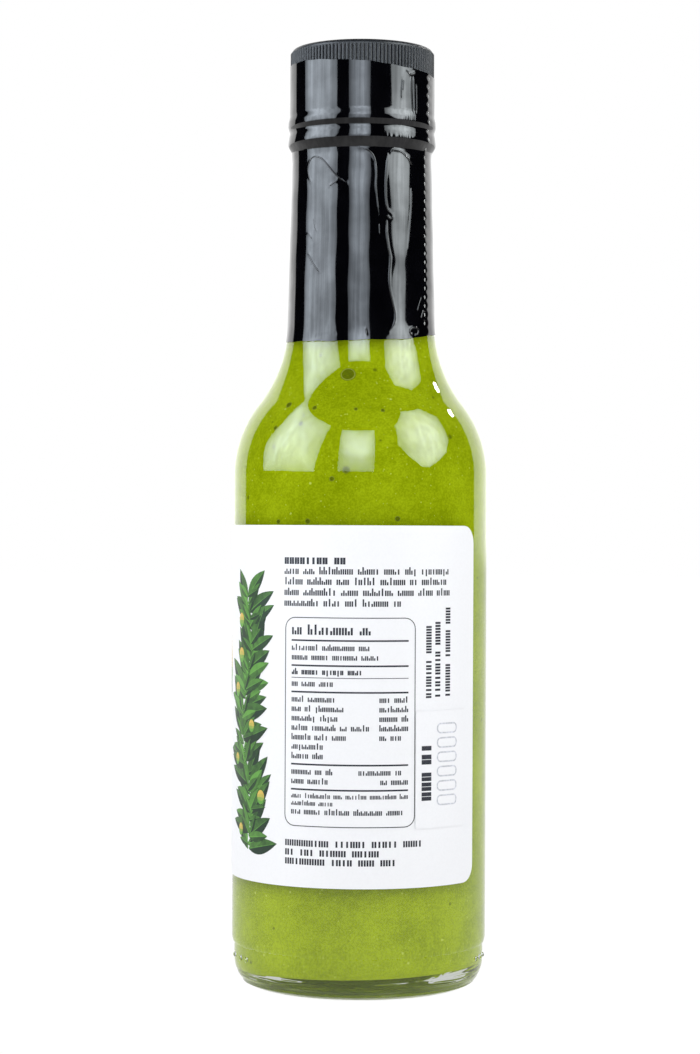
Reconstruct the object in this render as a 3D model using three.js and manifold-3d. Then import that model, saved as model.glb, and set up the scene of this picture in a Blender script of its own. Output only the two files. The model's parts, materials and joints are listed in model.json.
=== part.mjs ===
// A five-ounce sauce bottle: a clear glass bottle full of green sauce, with a ribbed screw cap,
// a shrink sleeve over the cap and neck, a wrap-round paper label and a small date sticker.
// Millimetres, +Z up. The origin is the centre of the base, on the surface that the bottle stands on.
// Angles round the bottle start at the side with the text panel, which faces -Y, and grow towards +X.
import * as THREE from "three";
import { mergeVertices } from "three/addons/utils/BufferGeometryUtils.js";
import Module from "manifold-3d";

const wasm = await Module();
wasm.setup();

// Bottle: outer form
const BODY_RADIUS = 23.35;
const BODY_FOOT = 9.2; // height where the straight body starts
const HEEL_RADIUS = 22.9; // the heel stands in a little from the body
const HEEL_TOP = 6.8;
const HEEL_ROUND = 3.6; // its rounding is taller than it is wide
const HEEL_RISE = 5.0;
const BEARING_WIDTH = 1.8; // flat ring that the bottle stands on
const PUSH_UP = 1.5; // rise of the base inside that ring
const SHOULDER_FOOT = 93.5; // height where the body starts to draw in
const SHOULDER_ROUND = 21.0; // convex stretch, tangent to the body
const SHOULDER_HOLLOW = 25.0; // concave stretch, tangent to the neck
const NECK_RADIUS = 13.5; // at the foot of the neck
const NECK_TAPER = THREE.MathUtils.degToRad(1.5);
const NECK_TOP = 151.6;
const BEAD_RADIUS = 13.5;
const BEAD_HEIGHT = 155.1;
const BEAD_HALF = 1.7;
const FINISH_RADIUS = 11.4; // the part that the cap screws over
const LIP_HEIGHT = 169.6;
const LIP_ROUND = 0.8;

// Bottle: inner form
const WALL = 2.3;
const BASE_THICKNESS = 4.6;
const INNER_HEEL_ROUND = 5.0;
const NECK_WALL = 3.2;
const BORE_RADIUS = 8.6;

// Sauce
const SAUCE_GAP = 0.3; // between the sauce and the glass
const FILL_HEIGHT = 138.0;
const MENISCUS = 0.6;

// Cap
const CAP_FOOT = 157.7;
const CAP_TOP = 171.9;
const CAP_RIB_CREST = 13.27;
const CAP_RIB_DEPTH = 0.28;
const CAP_RIBS = 116;
const CAP_RIB_LAND = 0.3; // share of the pitch that a rib's crest takes
const CAP_RIB_FOOT = 159.4;
const CAP_RIB_TOP = 171.2;
const CAP_EDGE_ROUND = 0.9;
const CAP_RIB_BITE = 0.6; // how far the ring of ribs is sunk in the wall behind it
const CAP_RIM_RADIUS = 13.5;
const CAP_RIM_HEIGHT = 1.0;
const CAP_RIM_ROUND = 0.5;
const CAP_INNER_RADIUS = 11.9;
const CAP_TOP_THICKNESS = 1.7;

// Shrink sleeve
const SLEEVE_GAP = 0.08;
const SLEEVE_THICKNESS = 0.12;
const SLEEVE_TOP = 167.4;
const SLEEVE_TOP_SLANT = 1.1; // its upper edge is lower on the +X side
const SLEEVE_FOOT = 118.2;
const SLEEVE_FOOT_SLANT = 0.6; // its lower edge is higher on the +X side
const SLEEVE_FOOT_DIP = 0.5; // and hangs lower at the -Y side
const SLEEVE_WAIST = 0.16; // how far it draws in between the cap and the bead
const SLEEVE_BEAD_LAND = 0.5; // half the height where it lies straight on the bead
const SLEEVE_BEND = 1.2; // height of its bend from the ribs down to the cap's rim

// Label and sticker
const LABEL_GAP = 0.08;
const LABEL_THICKNESS = 0.12;
const LABEL_FOOT = 20.2;
const LABEL_HEIGHT = 64.0;
const LABEL_END = THREE.MathUtils.degToRad(60.0); // the end that the text panel is at
const LABEL_LENGTH = 133.0;
const LABEL_CORNER = 3.2;
const LABEL_STATIONS = 60;
const STICKER_MIDDLE = THREE.MathUtils.degToRad(39.2);
const STICKER_WIDTH = 12.0;
const STICKER_FOOT = 30.6;
const STICKER_HEIGHT = 20.8;
const STICKER_CORNER = 0.4;
const STICKER_STATIONS = 8;

const FACETS = 48; // round the bottle
const ARC_STEPS = 4; // points on a rounded edge
const SHOULDER_STEPS = 6; // points on each stretch of the shoulder

const glassMaterial = new THREE.MeshStandardMaterial({
  color: 0xe9f0ec,
  roughness: 0.04,
  metalness: 0,
  transparent: true,
  opacity: 0.35,
});
const sauceMaterial = new THREE.MeshStandardMaterial({ color: 0x8ca214, roughness: 0.5, metalness: 0 });
const capMaterial = new THREE.MeshStandardMaterial({ color: 0x2c2d2f, roughness: 0.55, metalness: 0 });
const sleeveMaterial = new THREE.MeshStandardMaterial({ color: 0x08080a, roughness: 0.15, metalness: 0 });
const labelMaterial = new THREE.MeshStandardMaterial({ color: 0xf8f8fa, roughness: 0.6, metalness: 0 });
const stickerMaterial = new THREE.MeshStandardMaterial({ color: 0xfafafc, roughness: 0.5, metalness: 0 });

// The angle of the shoulder's steepest point, where its two round stretches meet.
const shoulderAngle = Math.acos(
  (SHOULDER_ROUND + SHOULDER_HOLLOW * Math.cos(NECK_TAPER) - (BODY_RADIUS - NECK_RADIUS)) /
    (SHOULDER_ROUND + SHOULDER_HOLLOW),
);
const shoulderTurn = {
  radius: BODY_RADIUS - SHOULDER_ROUND * (1 - Math.cos(shoulderAngle)),
  height: SHOULDER_FOOT + SHOULDER_ROUND * Math.sin(shoulderAngle),
};
const neckFoot = shoulderTurn.height + SHOULDER_HOLLOW * (Math.sin(shoulderAngle) - Math.sin(NECK_TAPER));
const neckTopRadius = NECK_RADIUS - (NECK_TOP - neckFoot) * Math.tan(NECK_TAPER);

// Points on a round or oval arc, from one angle to another, both ends included.
function arc(centreRadius, centreHeight, round, from, to, steps, rise = round) {
  const curve = new THREE.EllipseCurve(centreRadius, centreHeight, round, rise, from, to, to < from);
  return curve.getPoints(steps);
}

// The shoulder from the body up to the neck, set in from the outer form by a wall.
// The convex stretch loses the wall from its radius, and the concave one gains it.
function shoulder(wall) {
  const convex = arc(
    BODY_RADIUS - SHOULDER_ROUND,
    SHOULDER_FOOT,
    SHOULDER_ROUND - wall,
    0,
    shoulderAngle,
    SHOULDER_STEPS,
  );
  const hollowCentre = new THREE.Vector2(
    shoulderTurn.radius + SHOULDER_HOLLOW * Math.cos(shoulderAngle),
    shoulderTurn.height + SHOULDER_HOLLOW * Math.sin(shoulderAngle),
  );
  const concave = arc(
    hollowCentre.x,
    hollowCentre.y,
    SHOULDER_HOLLOW + wall,
    Math.PI + shoulderAngle,
    Math.PI + NECK_TAPER,
    SHOULDER_STEPS,
  );
  return [...convex, ...concave.slice(1)];
}

// The bottle's outside, from the middle of its base up to the lip.
function bottleOutside() {
  const bearingOuter = HEEL_RADIUS - HEEL_ROUND;
  return [
    ...arc(0, 0, bearingOuter - BEARING_WIDTH, Math.PI / 2, 0, ARC_STEPS, PUSH_UP),
    ...arc(bearingOuter, HEEL_RISE, HEEL_ROUND, -Math.PI / 2, 0, ARC_STEPS + 1, HEEL_RISE),
    new THREE.Vector2(HEEL_RADIUS, HEEL_TOP),
    new THREE.Vector2(BODY_RADIUS, BODY_FOOT),
    ...shoulder(0),
    new THREE.Vector2(neckTopRadius, NECK_TOP),
    ...arc(BEAD_RADIUS - BEAD_HALF, BEAD_HEIGHT, BEAD_HALF, -Math.PI / 3, Math.PI / 2, ARC_STEPS + 1),
    new THREE.Vector2(FINISH_RADIUS, BEAD_HEIGHT + BEAD_HALF),
    ...arc(FINISH_RADIUS - LIP_ROUND, LIP_HEIGHT - LIP_ROUND, LIP_ROUND, 0, Math.PI / 2, ARC_STEPS - 1),
  ];
}

// The bottle's inside, from the middle of its floor up to the mouth, set in by a further gap.
function bottleInside(gap) {
  const wall = WALL + gap;
  const floor = BASE_THICKNESS + gap;
  const innerRadius = BODY_RADIUS - wall;
  const neckInner = NECK_RADIUS - NECK_WALL - gap;
  return [
    new THREE.Vector2(0, floor),
    ...arc(
      innerRadius - INNER_HEEL_ROUND,
      floor + INNER_HEEL_ROUND,
      INNER_HEEL_ROUND,
      -Math.PI / 2,
      0,
      ARC_STEPS,
    ),
    ...shoulder(wall),
    new THREE.Vector2(neckInner, neckFoot + NECK_WALL),
  ];
}

// A closed profile turned round the bottle's axis.
function turned(profile, name, material) {
  const geometry = new THREE.LatheGeometry(profile, FACETS).rotateX(Math.PI / 2);
  return namedMesh(geometry, name, material);
}

function namedMesh(geometry, name, material) {
  const mesh = new THREE.Mesh(geometry, material);
  mesh.name = name;
  return mesh;
}

// A point at a radius, an angle round the bottle and a height.
function around(radius, angle, height) {
  return [radius * Math.sin(angle), -radius * Math.cos(angle), height];
}

// A skin over sections that each have the same number of points, running round the section.
// A ring joins its last section to its first, and a strip has both of its ends closed.
function loft(sections, isRing) {
  const count = sections[0].length;
  const positions = sections.flat(2);
  const triangles = [];
  const spans = isRing ? sections.length : sections.length - 1;
  for (let s = 0; s < spans; s++) {
    const here = s * count;
    const next = ((s + 1) % sections.length) * count;
    for (let p = 0; p < count; p++) {
      const q = (p + 1) % count;
      triangles.push(here + p, next + q, next + p, here + p, here + q, next + q);
    }
  }
  if (!isRing) {
    const last = (sections.length - 1) * count;
    for (let p = 1; p < count - 1; p++) {
      triangles.push(0, p + 1, p, last, last + p, last + p + 1);
    }
  }
  return new THREE.BufferGeometry()
    .setAttribute("position", new THREE.Float32BufferAttribute(positions, 3))
    .setIndex(triangles);
}

// A geometry as a solid that can be joined and cut.
function solidOf(geometry) {
  const bare = geometry.clone();
  bare.deleteAttribute("normal");
  bare.deleteAttribute("uv");
  const merged = mergeVertices(bare, 1e-3);
  return new wasm.Manifold(
    new wasm.Mesh({
      numProp: 3,
      vertProperties: merged.attributes.position.array,
      triVerts: new Uint32Array(merged.index.array),
    }),
  );
}

function geometryOf(solid) {
  const mesh = solid.getMesh();
  return new THREE.BufferGeometry()
    .setAttribute("position", new THREE.BufferAttribute(mesh.vertProperties, 3))
    .setIndex(new THREE.BufferAttribute(mesh.triVerts, 1));
}

function glassBottle() {
  const inside = bottleInside(0);
  const mouth = [
    new THREE.Vector2(BORE_RADIUS, BEAD_HEIGHT),
    new THREE.Vector2(BORE_RADIUS, LIP_HEIGHT),
  ];
  return turned(
    [...bottleOutside(), ...[...inside, ...mouth].reverse()],
    "glass_bottle",
    glassMaterial,
  );
}

function sauce() {
  const wet = bottleInside(SAUCE_GAP);
  const neckInner = wet.at(-1);
  const rise = (FILL_HEIGHT - neckInner.y) / (BEAD_HEIGHT - neckInner.y);
  const topRadius = neckInner.x + (BORE_RADIUS - SAUCE_GAP - neckInner.x) * rise;
  const surface = arc(0, FILL_HEIGHT, topRadius, 0, -Math.PI / 2, ARC_STEPS, MENISCUS);
  return turned([...wet, ...surface], "sauce", sauceMaterial);
}

// The cap's smooth cup: a rim at its foot, a plain wall behind the ribs, a rounded top edge
// and a hollow inside.
function capCup() {
  const root = CAP_RIB_CREST - CAP_RIB_DEPTH;
  const ceiling = CAP_TOP - CAP_TOP_THICKNESS;
  const profile = [
    new THREE.Vector2(CAP_INNER_RADIUS, CAP_FOOT),
    ...arc(
      CAP_RIM_RADIUS - CAP_RIM_ROUND,
      CAP_FOOT + CAP_RIM_ROUND,
      CAP_RIM_ROUND,
      -Math.PI / 2,
      0,
      ARC_STEPS / 2,
    ),
    new THREE.Vector2(CAP_RIM_RADIUS, CAP_FOOT + CAP_RIM_HEIGHT),
    new THREE.Vector2(root, CAP_RIB_FOOT + CAP_RIB_DEPTH),
    ...arc(root - CAP_EDGE_ROUND, CAP_TOP - CAP_EDGE_ROUND, CAP_EDGE_ROUND, 0, Math.PI / 2, ARC_STEPS),
    new THREE.Vector2(0, CAP_TOP),
    new THREE.Vector2(0, ceiling),
    new THREE.Vector2(CAP_INNER_RADIUS, ceiling),
  ];
  return new THREE.LatheGeometry([...profile, profile[0]], FACETS).rotateX(Math.PI / 2);
}

// A ring of upright ribs that stand out from the cup's wall.
function capRibs() {
  const root = CAP_RIB_CREST - CAP_RIB_DEPTH;
  const outline = [];
  for (let i = 0; i < CAP_RIBS; i++) {
    const pitch = (2 * Math.PI) / CAP_RIBS;
    for (const [share, radius] of [
      [0, root],
      [(1 - CAP_RIB_LAND) / 2, CAP_RIB_CREST],
      [(1 + CAP_RIB_LAND) / 2, CAP_RIB_CREST],
    ]) {
      const angle = (i + share) * pitch;
      outline.push(new THREE.Vector2(radius * Math.sin(angle), -radius * Math.cos(angle)));
    }
  }
  const ring = new THREE.Shape(outline);
  const hole = new THREE.Path().absarc(0, 0, root - CAP_RIB_BITE, 0, 2 * Math.PI, true);
  ring.holes.push(hole);
  const height = CAP_RIB_TOP - CAP_RIB_FOOT;
  return new THREE.ExtrudeGeometry(ring, {
    depth: height,
    bevelEnabled: false,
    curveSegments: FACETS / 2,
  }).translate(0, 0, CAP_RIB_FOOT);
}

function cap() {
  const joined = solidOf(capCup()).add(solidOf(capRibs()));
  return namedMesh(geometryOf(joined), "cap", capMaterial);
}

// The sleeve's inner radius at each height from its upper edge to its lower one: snug on the cap, drawn in a
// little below the cap's rim, out again over the bead, and then along the neck.
function sleeveProfile(top, foot) {
  const onCap = CAP_RIB_CREST + SLEEVE_GAP;
  const onRim = CAP_RIM_RADIUS + SLEEVE_GAP;
  const onBead = BEAD_RADIUS + SLEEVE_GAP;
  const onNeck = neckTopRadius + SLEEVE_GAP;
  const onNeckFoot = NECK_RADIUS + SLEEVE_GAP;
  const outer = bottleOutside();
  const above = outer.findIndex((point) => point.y > foot && point.y > SHOULDER_FOOT);
  const share = (foot - outer[above - 1].y) / (outer[above].y - outer[above - 1].y);
  const onShoulder = THREE.MathUtils.lerp(outer[above - 1].x, outer[above].x, share) + SLEEVE_GAP;
  return [
    [onCap, top],
    [onCap, CAP_RIB_FOOT + SLEEVE_BEND],
    [onRim, CAP_FOOT + CAP_RIM_HEIGHT],
    [onRim, CAP_FOOT],
    [onRim - SLEEVE_WAIST, (CAP_FOOT + BEAD_HEIGHT) / 2],
    [onBead, BEAD_HEIGHT + SLEEVE_BEAD_LAND],
    [onBead, BEAD_HEIGHT - SLEEVE_BEAD_LAND],
    [onNeck, NECK_TOP],
    [onNeckFoot, neckFoot],
    [onShoulder, foot],
  ];
}

function shrinkSleeve() {
  const sections = [];
  for (let i = 0; i < FACETS; i++) {
    const angle = (2 * Math.PI * i) / FACETS;
    const top = SLEEVE_TOP - SLEEVE_TOP_SLANT * Math.sin(angle);
    const foot = SLEEVE_FOOT + SLEEVE_FOOT_SLANT * Math.sin(angle) - SLEEVE_FOOT_DIP * Math.cos(angle);
    const profile = sleeveProfile(top, foot);
    const inner = profile.map(([radius, height]) => around(radius, angle, height));
    const outer = profile.map(([radius, height]) => around(radius + SLEEVE_THICKNESS, angle, height));
    sections.push([...outer, ...inner.reverse()]);
  }
  return namedMesh(loft(sections, true), "shrink_sleeve", sleeveMaterial);
}

// A thin sheet with rounded corners, bent round the bottle between two angles.
function wrappedSheet({ innerRadius, thickness, start, length, foot, height, corner, stations }) {
  const sections = [];
  const cornerSteps = Array.from({ length: ARC_STEPS }, (_, i) => (corner * i) / ARC_STEPS);
  const middle = Array.from(
    { length: stations + 1 },
    (_, i) => corner + ((length - 2 * corner) * i) / stations,
  );
  const along = [...cornerSteps, ...middle, ...cornerSteps.map((step) => length - step).reverse()];
  for (const distance of along) {
    const fromEnd = Math.min(distance, length - distance);
    const inset = Math.max(0, corner - fromEnd);
    const cut = corner - Math.sqrt(corner * corner - inset * inset);
    const angle = start + distance / innerRadius;
    const low = foot + cut;
    const high = foot + height - cut;
    sections.push([
      around(innerRadius, angle, low),
      around(innerRadius, angle, high),
      around(innerRadius + thickness, angle, high),
      around(innerRadius + thickness, angle, low),
    ]);
  }
  return loft(sections, false);
}

const labelRadius = BODY_RADIUS + LABEL_GAP;

function label() {
  const geometry = wrappedSheet({
    innerRadius: labelRadius,
    thickness: LABEL_THICKNESS,
    start: LABEL_END - LABEL_LENGTH / labelRadius,
    length: LABEL_LENGTH,
    foot: LABEL_FOOT,
    height: LABEL_HEIGHT,
    corner: LABEL_CORNER,
    stations: LABEL_STATIONS,
  });
  return namedMesh(geometry, "label", labelMaterial);
}

function dateSticker() {
  const innerRadius = labelRadius + LABEL_THICKNESS + LABEL_GAP;
  const geometry = wrappedSheet({
    innerRadius,
    thickness: LABEL_THICKNESS,
    start: STICKER_MIDDLE - STICKER_WIDTH / innerRadius / 2,
    length: STICKER_WIDTH,
    foot: STICKER_FOOT,
    height: STICKER_HEIGHT,
    corner: STICKER_CORNER,
    stations: STICKER_STATIONS,
  });
  return namedMesh(geometry, "date_sticker", stickerMaterial);
}

const bottle = new THREE.Group();
bottle.add(glassBottle(), sauce(), cap(), shrinkSleeve(), label(), dateSticker());

export default bottle;
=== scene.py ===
"""Looks of a five-ounce sauce bottle: glass, sauce, ribbed cap, shrink sleeve, label and sticker.

Laid out as an add-on and run as a script. Angles round the bottle start at the side that faces -Y
and grow towards +X. Flat places on a wrapped piece are (along, up, out): along runs with the angle.
"""

import json
import math
import random

import bpy
import numpy as np
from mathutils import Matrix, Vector

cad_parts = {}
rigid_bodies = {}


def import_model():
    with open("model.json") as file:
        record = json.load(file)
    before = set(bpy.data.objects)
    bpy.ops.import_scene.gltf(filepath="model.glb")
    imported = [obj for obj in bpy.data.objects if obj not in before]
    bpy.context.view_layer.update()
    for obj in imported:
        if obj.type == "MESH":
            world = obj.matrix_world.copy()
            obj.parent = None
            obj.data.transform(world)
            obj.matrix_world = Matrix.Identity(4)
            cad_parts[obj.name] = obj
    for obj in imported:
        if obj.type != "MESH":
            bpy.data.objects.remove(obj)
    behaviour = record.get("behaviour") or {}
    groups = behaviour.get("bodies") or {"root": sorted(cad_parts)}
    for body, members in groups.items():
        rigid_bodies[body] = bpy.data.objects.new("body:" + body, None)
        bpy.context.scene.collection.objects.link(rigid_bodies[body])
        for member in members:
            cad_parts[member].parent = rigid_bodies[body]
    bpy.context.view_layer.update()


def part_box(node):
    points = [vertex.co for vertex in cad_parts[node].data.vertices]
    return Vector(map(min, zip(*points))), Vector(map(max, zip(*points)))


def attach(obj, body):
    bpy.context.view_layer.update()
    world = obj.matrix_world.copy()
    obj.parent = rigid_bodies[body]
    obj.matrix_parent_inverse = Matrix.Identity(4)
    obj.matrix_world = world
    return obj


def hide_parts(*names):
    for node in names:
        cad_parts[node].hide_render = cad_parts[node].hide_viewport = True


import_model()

bl_info = {
    "name": "Sauce Bottle",
    "version": (1, 0, 0),
    "blender": (4, 5, 0),
    "location": "View3D > Sidebar > Sauce Bottle",
    "description": "Builds a capped glass bottle of green sauce with its sleeve, label and sticker",
    "category": "Add Mesh",
}

MM = 0.001
BODY = "root"

GLASS_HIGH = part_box("glass_bottle")[1]
SAUCE_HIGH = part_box("sauce")[1]
CAP_LOW, CAP_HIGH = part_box("cap")
LABEL_LOW, LABEL_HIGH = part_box("label")
STICKER_LOW, STICKER_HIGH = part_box("date_sticker")


# Properties

def length(name, description, default):
    """A size in metres."""
    return bpy.props.FloatProperty(
        name=name, description=description, default=default, min=0.0, unit="LENGTH", precision=5
    )


def turn(name, description, degrees):
    """An angle, given here in degrees."""
    return bpy.props.FloatProperty(
        name=name, description=description, default=math.radians(degrees), subtype="ANGLE"
    )


def amount(name, description, default):
    """A plain number."""
    return bpy.props.FloatProperty(name=name, description=description, default=default)


def colour(name, description, red, green, blue):
    """A colour, given here as it shows on a screen, from 0 to 255."""
    return bpy.props.FloatVectorProperty(
        name=name,
        description=description,
        default=[linear(red), linear(green), linear(blue), 1.0],
        size=4,
        min=0.0,
        max=1.0,
        subtype="COLOR",
    )


def linear(level):
    """The light that a screen level from 0 to 255 stands for."""
    share = level / 255
    if share <= 0.04045:
        return share / 12.92
    return ((share + 0.055) / 1.055) ** 2.4


class GlassLook(bpy.types.PropertyGroup):
    """Sizes and colour of the glass bottle."""

    body_radius: length("Body Radius", "Outer radius of the straight body", GLASS_HIGH.x)
    lip_height: length("Lip Height", "Height of the mouth's rim", GLASS_HIGH.z)
    shoulder_foot: length("Shoulder Foot", "Height where the body starts to draw in", 93.5 * MM)
    shoulder_round: length("Shoulder Round", "Radius of the convex stretch", 21.0 * MM)
    shoulder_hollow: length("Shoulder Hollow", "Radius of the concave stretch", 25.0 * MM)
    neck_radius: length("Neck Radius", "Outer radius at the foot of the neck", 13.5 * MM)
    neck_taper: turn("Neck Taper", "Lean of the neck's side", 1.5)
    wall: length("Wall", "Thickness of the body's wall", 2.3 * MM)
    base_thickness: length("Base Thickness", "Height of the floor inside the bottle", 3.9 * MM)
    tint: colour("Glass Tint", "Colour of the clear glass", 250, 253, 250)


class SauceLook(bpy.types.PropertyGroup):
    """Sizes and colours of the sauce."""

    fill_height: length("Fill Height", "Level of the sauce", SAUCE_HIGH.z)
    into_wall: length("Into Wall", "How far the sauce reaches into the glass", 0.1 * MM)
    green: colour("Sauce Green", "Colour of the darker grain", 120, 138, 0)
    pale: colour("Light Green", "Colour of the lighter grain", 169, 188, 22)
    pulp: colour("Pulp", "Colour of the pale flecks", 190, 203, 92)
    speck: colour("Speck", "Colour of the dark specks", 84, 96, 14)


class CapLook(bpy.types.PropertyGroup):
    """Sizes and colour of the ribbed cap."""

    top: length("Cap Top", "Height of the cap's top", CAP_HIGH.z)
    foot: length("Cap Foot", "Height of the cap's rim", CAP_LOW.z)
    rim_radius: length("Rim Radius", "Outer radius of the rim", CAP_HIGH.x)
    rib_crest: length("Rib Crest", "Radius at the ribs' crests", 13.27 * MM)
    rib_depth: length("Rib Depth", "How far the ribs stand out", 0.28 * MM)
    rib_count: bpy.props.IntProperty(name="Ribs", description="Ribs round the cap", default=116, min=3)
    plastic: colour("Cap Plastic", "Colour of the cap", 17, 19, 22)


class SleeveLook(bpy.types.PropertyGroup):
    """Sizes and colours of the shrink sleeve."""

    gap: length("Sleeve Gap", "Room under the film", 0.08 * MM)
    thickness: length("Film Thickness", "Thickness of the film", 0.12 * MM)
    top: length("Sleeve Top", "Mean height of the upper edge", 167.5 * MM)
    foot: length("Sleeve Foot", "Mean height of the lower edge", 118.5 * MM)
    film: colour("Film", "Colour of the film", 2, 2, 4)
    stressed: colour("Stressed Film", "Colour of the film at the tear line", 150, 152, 150)


class LabelLook(bpy.types.PropertyGroup):
    """Sizes and colours of the label and the sticker."""

    foot: length("Label Foot", "Height of the label's lower edge", LABEL_LOW.z)
    height: length("Label Height", "Height of the label", LABEL_HIGH.z - LABEL_LOW.z)
    strip: length("Label Length", "Length of the label round the bottle", 133.0 * MM)
    end: turn("Label End", "Angle of the end beside the text panel", 60.0)
    corner: length("Label Corner", "Radius of the corners", 3.2 * MM)
    gap: length("Label Gap", "Room under the paper", 0.08 * MM)
    thickness: length("Paper Thickness", "Thickness of the paper", 0.12 * MM)
    sticker_middle: turn("Sticker Middle", "Angle of the sticker's middle", 39.2)
    sticker_width: length("Sticker Width", "Width of the sticker", 12.0 * MM)
    paper: colour("Paper", "Colour of the paper", 234, 235, 238)
    ink: colour("Ink", "Colour of the printed lines", 18, 20, 30)
    faint_ink: colour("Faint Ink", "Colour of the stamped marks", 176, 178, 186)
    deep_leaf: colour("Deep Leaf", "Darkest green of the printed leaves", 8, 34, 14)
    bright_leaf: colour("Bright Leaf", "Lightest green of the printed leaves", 92, 152, 58)
    fruit: colour("Fruit", "Colour of the printed fruits", 206, 176, 84)


class StageLook(bpy.types.PropertyGroup):
    """Camera and light."""

    camera_distance: length("Camera Distance", "From the bottle's axis", 476.0 * MM)
    camera_height: length("Camera Height", "Above the floor", 83.9 * MM)
    camera_aside: length("Camera Aside", "How far the camera stands to the left", 1.9 * MM)
    camera_roll: turn("Camera Roll", "Lean of the camera", -0.266)
    lens: amount("Lens", "Focal length in millimetres", 87.9)
    floor: colour("Floor", "Colour of the floor", 247, 247, 247)
    wall_light: amount("Wall Light", "Brightness of the wall behind the bottle", 1.55)
    room_light: amount("Room Light", "Brightness of the room in front of it", 0.008)


class BottleLook(bpy.types.PropertyGroup):
    """All sizes and colours of the bottle and its stage."""

    glass: bpy.props.PointerProperty(type=GlassLook)
    sauce: bpy.props.PointerProperty(type=SauceLook)
    cap: bpy.props.PointerProperty(type=CapLook)
    sleeve: bpy.props.PointerProperty(type=SleeveLook)
    label: bpy.props.PointerProperty(type=LabelLook)
    stage: bpy.props.PointerProperty(type=StageLook)


def look():
    """The properties that the pieces are made from."""
    return bpy.context.scene.sauce_bottle


# Wires between nodes

# Spots of a pattern: the least reach as a part of the given size, where the soft edge ends inside a
# spot, and how sharply cells with a spot part from those without
SPOT_LEAST = 0.4
SPOT_CORE = 0.55
SPOT_CHOICE = 0.02


class Wire:
    """A node's output that takes part in Python expressions: each operator adds a Math node."""

    def __init__(self, tree, socket=None):
        self.tree = tree
        self.socket = socket

    def node(self, kind, settings=None, sockets=None, output=0):
        """Adds a node: its settings first, then the values or links of its sockets."""
        made = self.tree.nodes.new(kind)
        for name, value in (settings or {}).items():
            setattr(made, name, value)
        for name, value in (sockets or {}).items():
            self.plug(made.inputs[name], value)
        return Wire(self.tree, made.outputs[output] if made.outputs else None)

    def plug(self, socket, value):
        """Links a wire to a socket, or sets the socket's own value."""
        if isinstance(value, Wire):
            self.tree.links.new(value.socket, socket)
        else:
            socket.default_value = value

    def other(self, output):
        """Another output of the same node."""
        return Wire(self.tree, self.socket.node.outputs[output])

    def maths(self, operation, first, second):
        """A Math node on two wires or numbers."""
        return self.node("ShaderNodeMath", {"operation": operation}, {0: first, 1: second})

    def __add__(self, value):
        return self.maths("ADD", self, value)

    def __sub__(self, value):
        return self.maths("SUBTRACT", self, value)

    def __rsub__(self, value):
        return self.maths("SUBTRACT", value, self)

    def __mul__(self, value):
        return self.maths("MULTIPLY", self, value)

    def __truediv__(self, value):
        return self.maths("DIVIDE", self, value)

    def __rtruediv__(self, value):
        return self.maths("DIVIDE", value, self)

    __radd__ = __add__
    __rmul__ = __mul__

    def step(self, low, high):
        """A smooth step from 0 at low to 1 at high."""
        return self.node(
            "ShaderNodeMapRange",
            {"interpolation_type": "SMOOTHSTEP"},
            {"Value": self, "From Min": low, "From Max": high},
        )

    def between(self, low, high):
        """This wire moved from the range 0 to 1 into another."""
        return self * (high - low) + low

    def stored(self, name):
        """A number that the mesh holds for each vertex."""
        return self.node("ShaderNodeAttribute", {"attribute_name": name}, None, "Fac")

    def point_value(self, name, kind="FLOAT_VECTOR"):
        """A value that a geometry tree finds on each point."""
        kinds = {"data_type": kind}
        return self.node("GeometryNodeInputNamedAttribute", kinds, {"Name": name}, "Attribute")

    def mix(self, first, second):
        """The first colour where this wire is 0, and the second where it is 1."""
        return self.node("ShaderNodeMix", {"data_type": "RGBA"}, {0: self, 6: first, 7: second}, 2)

    def noise(self, scale, detail=2.0):
        """Noise on this wire's coordinates, with a scale in waves to the metre."""
        return self.node("ShaderNodeTexNoise", None, {"Vector": self, "Scale": scale, "Detail": detail})

    def drawn_out(self, share):
        """These coordinates with heights pressed to a share, so that patterns become upright streaks."""
        return self.node("ShaderNodeMapping", None, {"Vector": self, "Scale": (1.0, 1.0, share)})

    def spots(self, scale, share, size):
        """Round spots: one in a share of the cells, each as wide as a part of its cell."""
        distance = self.node("ShaderNodeTexVoronoi", None, {"Vector": self, "Scale": scale})
        chance = self.node("ShaderNodeSeparateColor", None, {"Color": distance.other("Color")})
        reach = chance.other("Green") * size
        inside = (distance / (reach + size * SPOT_LEAST)).step(1.0, SPOT_CORE)
        return inside * chance.step(1.0 - share, 1.0 - share + SPOT_CHOICE)

    def bump(self, strength, distance):
        """A surface normal that follows this wire as a height."""
        return self.node(
            "ShaderNodeBump", None, {"Strength": strength, "Distance": distance, "Height": self}, "Normal"
        )


# Materials

def new_material(name, **constants):
    """A material, a wire that starts on its object coordinates, and its shader."""
    material = bpy.data.materials.new(name)
    material.use_nodes = True
    shader = material.node_tree.nodes["Principled BSDF"]
    for socket, value in constants.items():
        shader.inputs[socket.replace("_", " ")].default_value = value
    place = Wire(material.node_tree).node("ShaderNodeTexCoord", output="Object")
    return material, place, shader


def feed(shader, **wires):
    """Links wires to the shader's sockets."""
    for name, wire in wires.items():
        wire.plug(shader.inputs[name.replace("_", " ")], wire)


def shaded(paint, gain, lift=0.0):
    """A colour made lighter or darker."""
    return [min(1.0, level * gain + lift) for level in paint[:3]] + [1.0]


def grey(level):
    """A neutral colour."""
    return (level, level, level, 1.0)


GLASS_IOR = 1.5
CAP_IOR = 1.38
FILM_IOR = 1.33
PAPER_IOR = 1.45
SAUCE_DEPTH = 0.25 * MM  # how deep light goes into the sauce
# Shares of the light green that each pattern of the sauce adds, and the share that is always there
CLOUD_SHARE = 0.3
MOTTLE_SHARE = 0.17
GRAIN_SHARE = 0.33
LEAST_SHARE = 0.08
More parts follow.
